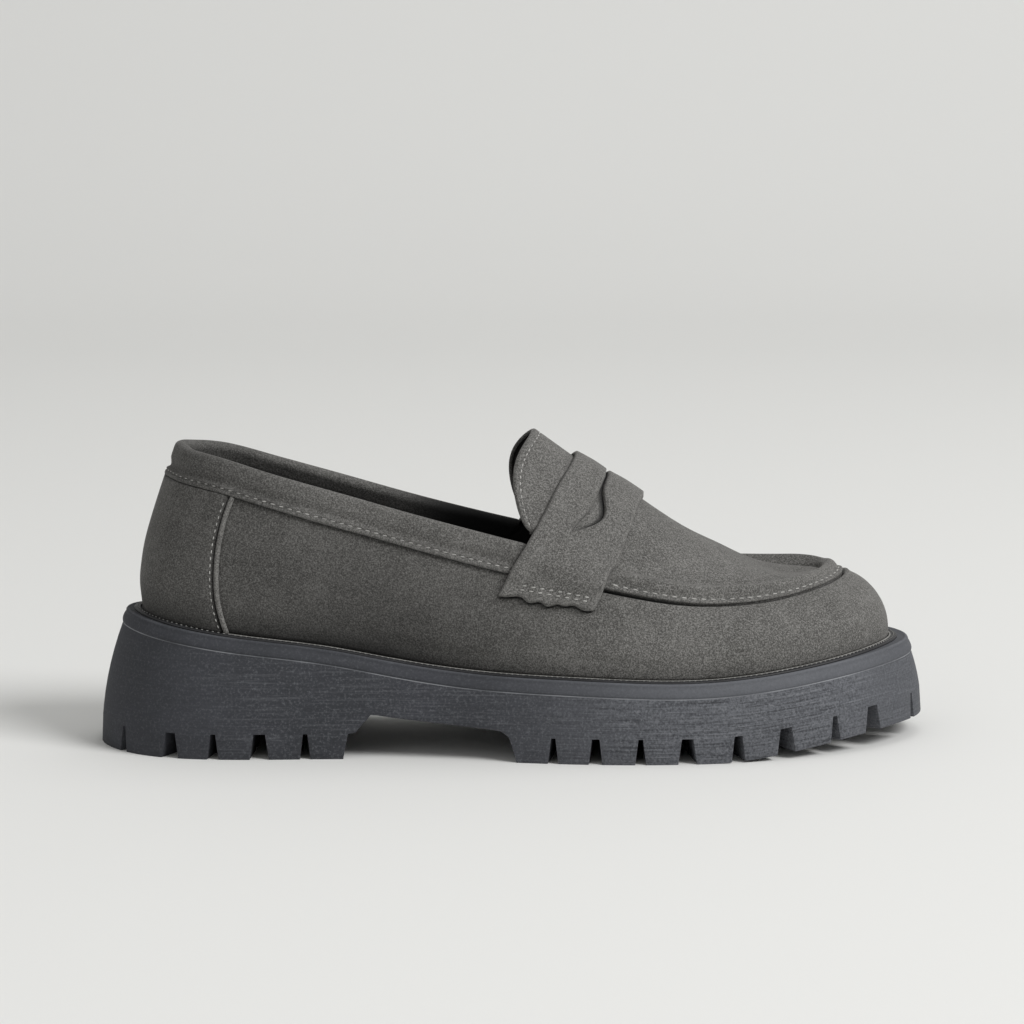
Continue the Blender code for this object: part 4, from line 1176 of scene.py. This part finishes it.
def makeWelt():
    shape = weltShape
    columns, sides = shape["columns"], len(weltProfile)
    bm = bmesh.new()
    layGrid(bm, columns, sides, lambda i, j: bedPoint(i / columns, *weltProfile[j % sides]))
    joinGrid(bm)
    bmesh.ops.recalc_face_normals(bm, faces=bm.faces)
    finishPiece("welt", bm, [weltRubber], ["welt"])

    def beadLine(share):
        out = shape["beadOut"] - shape["beadIn"] * bell(halfPlace(share) / uPerMm, 0.0, 14.0)
        return bedPoint(share, out, shape["beadRise"]), upright

    def dashLine(share):
        return bedPoint(share, shape["dashOut"], shape["dashRise"]), upright

    bead = bmesh.new()
    tube(bead, beadLine, columns, shape["bead"], shape["bead"], 6, closed=True)
    finishPiece("weltBead", bead, [weltEdge])
    dashes = bmesh.new()
    stitchRow(dashes, dashLine, *stitchSizes["welt"])
    finishPiece("weltStitches", dashes, [weltThread])


makeWelt()
print("welt made")


# Insole
insoleShape = {"inset": 2.9, "thick": 3.0, "dish": 0.8, "columns": 150, "rows": 28}


def makeInsole():
    shape = insoleShape

    def pointAt(i, j):
        u, share = 0.5 * i / shape["columns"], j / shape["rows"]
        outer = bedPoint(u, -shape["inset"], shape["thick"])
        inner = bedPoint(1.0 - u, -shape["inset"], shape["thick"])
        point = outer + (inner - outer) * share
        point[2] -= shape["dish"] * 4.0 * share * (1.0 - share)
        return point

    bm = bmesh.new()
    layGrid(bm, shape["columns"], shape["rows"], pointAt)
    joinGrid(bm)
    bmesh.ops.recalc_face_normals(bm, faces=bm.faces)
    if sum(face.normal.z for face in bm.faces) < 0.0:
        bmesh.ops.reverse_faces(bm, faces=bm.faces)
    finishPiece("insole", bm, [lining], ["insole"], wall=2.1, roundEdge=0.6)


makeInsole()
print("insole made")

# Outsole
sole = {
    "ledge": 5.2, "ledgeHeel": 0.5, "ledgeToe": 1.6, "endReach": 0.09, "ledgeDrop": 0.9,
    "bandHeight": 3.4, "bandOut": 1.3, "grooveDepth": 0.2, "grooveDrop": 0.5,
    "lugHeight": 8.4, "lugRing": 17.0, "lugChannel": 4.0, "lugTaper": 1.2,
    "heelLugTaper": 1.6, "frontLugTaper": 3.0,
    "spring": 6.8, "springStart": 200.0, "springRun": 75.0,
    "heelFlare": 7.6, "sideFlare": 2.9, "toeFlare": 3.6, "heelFlareReach": 0.13,
    "heelLugEnd": 83.6, "breastStart": 85.0, "breastEnd": 92.0, "frontRise": 133.5,
    "frontLugStart": 136.4, "archBack": 14.9, "archFront": 10.1, "archPower": 0.8,
    "barStart": 20.0, "barEnd": 262.0, "pitch": 2.6, "edgeRound": 0.55,
}
soleRim = [(-1.6, 0.05), (-1.2, 0.30), (-0.8, 0.32), (-0.35, 0.12), (-0.1, -0.2), (0.0, -0.6)]
bandShares = (0.0, 0.2, 0.4, 0.6, 0.8, 0.93, 1.0)
sideShares = (0.0, 0.04, 0.15, 0.3, 0.45, 0.6, 0.75, 0.9, 1.0)
wideGap, middleGap, narrowGap, endGap = (5.9, 3.6), (4.3, 2.4), (3.4, 1.4), (2.3, 0.9)
lugGaps = [  # station and widths at the foot and at the root
    (8.5, endGap), (24.6, middleGap), (38.9, narrowGap), (54.3, wideGap), (69.5, narrowGap),
    (151.0, narrowGap), (164.9, middleGap), (179.7, narrowGap), (195.2, wideGap),
    (212.2, middleGap), (228.5, wideGap), (245.8, narrowGap), (259.6, wideGap), (275.3, endGap),
]


def treadHeight(station):
    return sole["spring"] * smoothStep(station, sole["springStart"],
                                       sole["springStart"] + sole["springRun"])


def rootHeight(station):
    if station <= sole["heelLugEnd"] or station >= sole["frontLugStart"]:
        return treadHeight(station) + sole["lugHeight"]
    rise = smoothStep(station, sole["breastStart"], sole["breastEnd"])
    back = sole["lugHeight"] + rise * (sole["archBack"] - sole["lugHeight"])
    share = (station - sole["breastEnd"]) / (sole["frontLugStart"] - sole["breastEnd"])
    arch = sole["archBack"] - (sole["archBack"] - sole["archFront"]) * max(share, 0.0) ** sole["archPower"]
    high = arch if station > sole["breastEnd"] else back
    front = smoothStep(station, sole["frontRise"], sole["frontLugStart"])
    return high + front * (sole["lugHeight"] - high)


def soleFlare(u):
    half = halfPlace(u)
    heel = 1.0 - smoothStep(half, 0.0, sole["heelFlareReach"])
    toe = smoothStep(half, 0.5 - sole["endReach"], 0.5)
    return (sole["sideFlare"] + (sole["heelFlare"] - sole["sideFlare"]) * heel
            + (sole["toeFlare"] - sole["sideFlare"]) * toe)


def ledgeWidth(u):
    half = halfPlace(u)
    heel = 1.0 - smoothStep(half, 0.0, sole["endReach"])
    toe = smoothStep(half, 0.5 - sole["endReach"], 0.5)
    return sole["ledge"] + sole["ledgeHeel"] * heel + sole["ledgeToe"] * toe


def sidePoint(u, height):
    ledge = bedPoint(u, ledgeWidth(u), -gap - sole["ledgeDrop"])
    top = ledge[2] - sole["bandHeight"] - sole["grooveDrop"]
    share = (top - height) / (top - treadHeight(ledge[0]))
    spread = soleFlare(u) * (1.0 - (1.0 - share) ** 2)
    point = footCurve(u) + planOutward(u) * (ledgeWidth(u) + sole["bandOut"] - sole["grooveDepth"] + spread)
    point[2] = height
    return point


def placeAtStation(station):
    low, high = 0.0, 0.5
    for _ in range(40):
        middle = 0.5 * (low + high)
        if sidePoint(middle, treadHeight(station))[0] < station:
            low = middle
        else:
            high = middle
    return 0.5 * (low + high)


def treadColumns():
    cuts = []
    for station, (footWidth, rootWidth) in lugGaps:
        middle = placeAtStation(station)
        taper = 0.5 * (footWidth - rootWidth) * uPerMm
        cuts.append((middle - 0.5 * rootWidth * uPerMm, "gap", -taper))
        cuts.append((middle + 0.5 * rootWidth * uPerMm, "lug", taper))
    cuts.append((placeAtStation(sole["heelLugEnd"]), "arch", -sole["heelLugTaper"] * uPerMm))
    cuts.append((placeAtStation(sole["frontLugStart"]), "lug", sole["frontLugTaper"] * uPerMm))
    cuts.sort()
    columns = [(0.0, "lug", 0.0)]
    for place, kind, shift in cuts + [(0.5, "", 0.0)]:
        start, ahead = columns[-1][0], columns[-1][1]
        parts = max(1, round((place - start) / uPerMm / sole["pitch"])) if ahead != "gap" else 1
        for k in range(1, parts):
            columns.append((start + (place - start) * k / parts, ahead, 0.0))
        columns.append((place, kind or "lug", shift))
    return columns


def makeOutsole():
    columns = treadColumns()
    half = [place for place, kind, shift in columns]
    count = len(half)
    places = half + [1.0 - u for u in reversed(half[:-1])]
    shifts = [shift for place, kind, shift in columns]
    shifts = shifts + [-shift for shift in reversed(shifts[:-1])]
    total = len(places) - 1
    bandFoot = -gap - sole["ledgeDrop"] - sole["bandHeight"]

    def underside(u, inset):
        height = rootHeight(sidePoint(u, sole["lugHeight"])[0])
        point = sidePoint(u, height) - planOutward(u) * inset
        point[2] = rootHeight(point[0])
        return point

    def wall(u, share):
        ledge = bedPoint(u, ledgeWidth(u), -gap - sole["ledgeDrop"])
        top = ledge[2] - sole["bandHeight"] - sole["grooveDrop"]
        return sidePoint(u, top + (underside(u, 0.0)[2] - top) * share)

    # Rows of the side, from the bed inside the upper over the ledge and down to the tread
    rows = [lambda u: bedPoint(u, -3.0, -gap), lambda u: bedPoint(u, 3.0, -gap)]
    rows += [lambda u, o=out, r=rise: bedPoint(u, ledgeWidth(u) + o, -gap + r) for out, rise in soleRim]
    for share in bandShares:
        rows.append(lambda u, s=share: bedPoint(
            u, ledgeWidth(u) + sole["bandOut"] * (1.0 - (1.0 - s) ** 2) - 0.25 * smoothStep(s, 0.9, 1.0),
            -gap - sole["ledgeDrop"] - sole["bandHeight"] * s))
    rows.append(lambda u: bedPoint(u, ledgeWidth(u) + sole["bandOut"] - sole["grooveDepth"],
                                   bandFoot - 0.5 * sole["grooveDrop"]))
    grooveRow = len(rows) - 1
    for share in sideShares:
        rows.append(lambda u, s=share: wall(u, s))
    edgeRow = len(rows) - 1
    rows += [lambda u: underside(u, sole["lugRing"]),
             lambda u: underside(u, sole["lugRing"] + sole["lugChannel"])]
    bm = paintedMesh("grainHeight", "grainAmount", "ahead", "wear")
    spots = layGrid(bm, total, len(rows) - 1, lambda i, j: rows[j](places[i]))
    lugFaces = []
    for face in bm.faces:
        corner = [spots[vert] for vert in face.verts]
        i, j = min(c[0] for c in corner), min(c[1] for c in corner)
        index = i if i < count - 1 else total - 1 - i
        if j == edgeRow and columns[index][1] == "lug":
            lugFaces.append(face)

    # The middle of the tread and the bed under the insole, as grids between both sides
    def middleGrid(row, rowsAcross=6):
        def pointAt(i, j):
            outer, inner = row(half[i]), row(1.0 - half[i])
            return outer + (inner - outer) * j / rowsAcross

        numbers = layGrid(bm, count - 1, rowsAcross, pointAt)
        spots.update({vert: (i, middleRow) for vert, (i, j) in numbers.items()})
        return numbers

    middleRow = 100  # stands for every row of the middle
    middle = set(middleGrid(rows[-1]))
    for vert in middle:
        station = vert.co.x / mm + last["middleStation"]
        vert.co.z = rootHeight(station) * mm
    middleGrid(rows[0])
    bars = []
    for face in bm.faces:
        if all(vert in middle for vert in face.verts):
            k = min(spots[vert][0] for vert in face.verts)
            station = footCurve(half[k])[0]
            nearEnds = k < 1 or k > count - 3
            if columns[k][1] == "lug" and sole["barStart"] < station < sole["barEnd"] and not nearEnds:
                bars.append(face)
    depths = {edgeRow: 0.0, edgeRow + 1: sole["lugRing"] - sole["lugTaper"],
              edgeRow + 2: sole["lugRing"] + sole["lugChannel"] + sole["lugTaper"]}

    def foot(point):
        point[2] = treadHeight(point[0])
        return toScene(point)

    targets = {}
    for face in lugFaces + bars:
        for vert in face.verts:
            i, j = spots[vert]
            if j in depths:
                u = places[i] + shifts[i]
                edge = sidePoint(u, treadHeight(footCurve(u)[0]))
                targets[tuple(round(c, 7) for c in vert.co)] = foot(edge - planOutward(u) * depths[j])
            else:
                u = half[i] + shifts[i]
                ends = [sidePoint(w, treadHeight(footCurve(w)[0])) - planOutward(w) * depths[edgeRow + 2]
                        for w in (u, 1.0 - u)]
                outer, inner = rows[-1](half[i]), rows[-1](1.0 - half[i])
                span = inner - outer
                here = np.array([vert.co.x / mm + last["middleStation"],
                                 vert.co.y / mm + last["middleAcross"], 0.0])
                length = max(np.dot(span[:2], span[:2]), 1e-9)
                share = float(np.dot(here[:2] - outer[:2], span[:2]) / length)
                targets[tuple(round(c, 7) for c in vert.co)] = foot(ends[0] + (ends[1] - ends[0]) * share)
    raised = lugFaces + bars
    bmesh.ops.remove_doubles(bm, verts=bm.verts, dist=1.5 * joinReach)
    raised = [face for face in raised if face.is_valid]
    bmesh.ops.recalc_face_normals(bm, faces=bm.faces)
    drawn = bmesh.ops.extrude_face_region(bm, geom=raised)["geom"]
    bmesh.ops.delete(bm, geom=raised, context="FACES")
    for vert in drawn:
        if isinstance(vert, bmesh.types.BMVert):
            key = tuple(round(c, 7) for c in vert.co)
            if key in targets:
                vert.co = targets[key]
            else:
                print("lug corner without a place", key)
    layers = bm.verts.layers.float
    for vert in bm.verts:
        station = vert.co.x / mm + last["middleStation"]
        row = spots.get(vert, (0, edgeRow))[1]
        ribbed = smoothStep(station, 135.0, 190.0) * (1.0 - 0.75 * smoothStep(station, 246.0, 264.0))
        grain = 0.08 + max(0.3 * smoothStep(station, 22.0, 60.0), 0.85 * ribbed)
        toe = 1.0 - 0.3 * smoothStep(station, 245.0, 275.0)
        vert[layers["grainHeight"]] = vert.co.z - treadHeight(station) * mm * 0.8
        vert[layers["grainAmount"]] = grain if grooveRow < row <= edgeRow else 0.04
        # painted light: the sole is lighter from the waist forward, a little less at the tip
        vert[layers["ahead"]] = 0.9 * smoothStep(station, 110.0, 210.0) * toe
        vert[layers["wear"]] = 0.75 if row == grooveRow else 0.1 if row in (4, 5) else 0.0
    return finishPiece("outsole", bm, [soleRubber], ["outsole"],
                       roundEdge=sole["edgeRound"], sharp=38.0)


makeOutsole()
print("outsole made")


# Stitches
def surfaceLine(placeAt, lift):
    def line(share):
        u, v = placeAt(share)
        point, normal = surfaceFrame(u % 1.0, v)
        return point + normal * lift(u, v), normal
    return line


cuffEnd = strapBack - 0.6 * uPerMm
apronStart = strapFront + 0.8 * uPerMm
sewnDepth = 0.2  # mm that a stitch lies below the top of its panel
tongueInset = 2.9


def cuffPlace(share):
    u = -cuffEnd + 2.0 * cuffEnd * share
    return u, cuffEdge(u) + cuffShape["stitchUp"]


def apronPlace(share):
    return apronStart + (1.0 - 2.0 * apronStart) * share, apronShape["stitchLevel"]


def counterPlace(share):
    v = 0.12 + 2.80 * share
    return counterEdge(v) - 2.5 * uPerMm, v


def strapStitchPlace(row):
    def placeAt(share):
        half = strapStitches["first"] + strapStitches["run"] * share
        v = stitchLevel(half, row)
        return strapPlace(half, v), v
    return placeAt


def innerSide(placeAt):  # the same line on the other side of the shoe
    def mirrored(share):
        u, v = placeAt(share)
        return 1.0 - u, v
    return mirrored


def tongueLine(share):
    across = -0.97 + 1.94 * share
    u, v = tonguePlace(0.0, across)
    half = min(halfPlace(u) + tongueInset * uPerMm, strapBack - 0.05 * uPerMm)
    outer = across <= 0.0
    point = tonguePoint(half if outer else 1.0 - half, v)
    normal = surfaceFrame(strapBack if outer else 1.0 - strapBack, max(v, 4.01))[1]
    return point + normal * (gap + tongueShape["wall"] - 0.22), normal


def facingLine(share):  # the dark row inside the collar
    u = (-cuffEnd + 2.0 * cuffEnd * share) % 1.0
    return cuffSection(u, 1.0)[30], -surfaceFrame(u, 4.0)[1]


def makeStitches():
    white = bmesh.new()
    stitchRow(white, surfaceLine(cuffPlace, lambda u, v: cuffShape["gap"] + cuffShape["flange"] - 0.5),
              *stitchSizes["cuff"])
    stitchRow(white, surfaceLine(apronPlace, apronLift), *stitchSizes["apron"])
    for onSide in (lambda placeAt: placeAt, innerSide):
        stitchRow(white, surfaceLine(onSide(counterPlace),
                                     lambda u, v: gap + counterShape["wall"] - sewnDepth),
                  *stitchSizes["counter"])
        for row in strapStitches["rows"]:
            stitchRow(white, surfaceLine(onSide(strapStitchPlace(row)),
                                         lambda u, v: strapSeat(u, v) + strapShape["wall"] - 0.22),
                      *stitchSizes["strap"])
    stitchRow(white, tongueLine, *stitchSizes["tongue"])
    finishPiece("threads", white, [thread])
    black = bmesh.new()
    stitchRow(black, facingLine, *stitchSizes["facing"])
    finishPiece("liningThreads", black, [darkThread])


makeStitches()
print("stitches made")


# Floor, light and camera
studio = {"floor": (0.77, 0.77, 0.756), "world": (0.93, 0.93, 0.915), "worldStrength": 0.47}


def makeStudio():
    bm = bmesh.new()
    bmesh.ops.create_grid(bm, x_segments=1, y_segments=60, size=6.0)
    for vert in bm.verts:  # the floor runs up into the wall in one sweep
        y = vert.co.y
        rise = max(y - 1.6, 0.0)
        vert.co.z = min(rise ** 2 * 0.9, rise * 3.0)
    mesh = bpy.data.meshes.new("floor")
    bm.to_mesh(mesh)
    bm.free()
    mesh.shade_smooth()
    floor = bpy.data.objects.new("floor", mesh)
    bpy.context.scene.collection.objects.link(floor)
    material, shader, add, link = nodeKit("floor")
    coords = add("ShaderNodeTexCoord").outputs["Object"]
    soft = noise(add, link, coords, 1.2, 2.0, 0.5)
    tone = mixColour(add, link, soft, tuple(c * 0.985 for c in studio["floor"]), studio["floor"])
    link(tone, shader.inputs["Base Color"])
    shader.inputs["Roughness"].default_value = 0.9
    shader.inputs["Specular IOR Level"].default_value = 0.1
    mesh.materials.append(material)
    world = bpy.data.worlds.new("studio")
    world.use_nodes = True
    background = world.node_tree.nodes["Background"]
    background.inputs["Color"].default_value = (*studio["world"], 1.0)
    background.inputs["Strength"].default_value = studio["worldStrength"]
    bpy.context.scene.world = world
    for name, place, aim, size, power in (
            ("key", (2.1, -1.5, 2.3), (0.05, 0.0, 0.04), 1.7, 87.0),
            ("fill", (-2.2, -2.8, 1.6), (0.0, 0.0, 0.05), 2.2, 6.0),
            ("top", (0.9, 1.0, 3.2), (0.0, 0.2, 0.05), 2.0, 14.0)):
        data = bpy.data.lights.new(name, "AREA")
        data.shape = "DISK"
        data.size = size
        data.energy = power
        lamp = bpy.data.objects.new(name, data)
        bpy.context.scene.collection.objects.link(lamp)
        lamp.location = place
        lamp.rotation_mode = "QUATERNION"
        lamp.rotation_quaternion = (Vector(aim) - Vector(place)).to_track_quat("-Z", "Y")


def makeCamera():
    view = {"distance": 1.25, "turn": -2.0, "eyeHeight": 0.252, "aimHeight": 0.0768,
            "lens": 130.97, "shift": -0.00215}
    offset = Vector((-0.1 * mm, -last["middleAcross"] * mm, 0.0))
    turn = math.radians(view["turn"])
    eye = Vector((math.sin(turn) * view["distance"], -math.cos(turn) * view["distance"],
                  view["eyeHeight"])) + offset
    aim = Vector((0.0, 0.0, view["aimHeight"])) + offset
    data = bpy.data.cameras.new("camera")
    data.lens = view["lens"]
    data.sensor_width = 36.0
    data.shift_x = view["shift"]
    data.clip_start = 0.05
    data.clip_end = 50.0
    camera = bpy.data.objects.new("camera", data)
    bpy.context.scene.collection.objects.link(camera)
    camera.location = eye
    camera.rotation_mode = "QUATERNION"
    camera.rotation_quaternion = (aim - eye).to_track_quat("-Z", "Y")
    bpy.context.scene.camera = camera


makeStudio()
makeCamera()
bpy.context.scene.view_settings.view_transform = "Standard"
bpy.context.scene.view_settings.look = "None"
print("studio made")
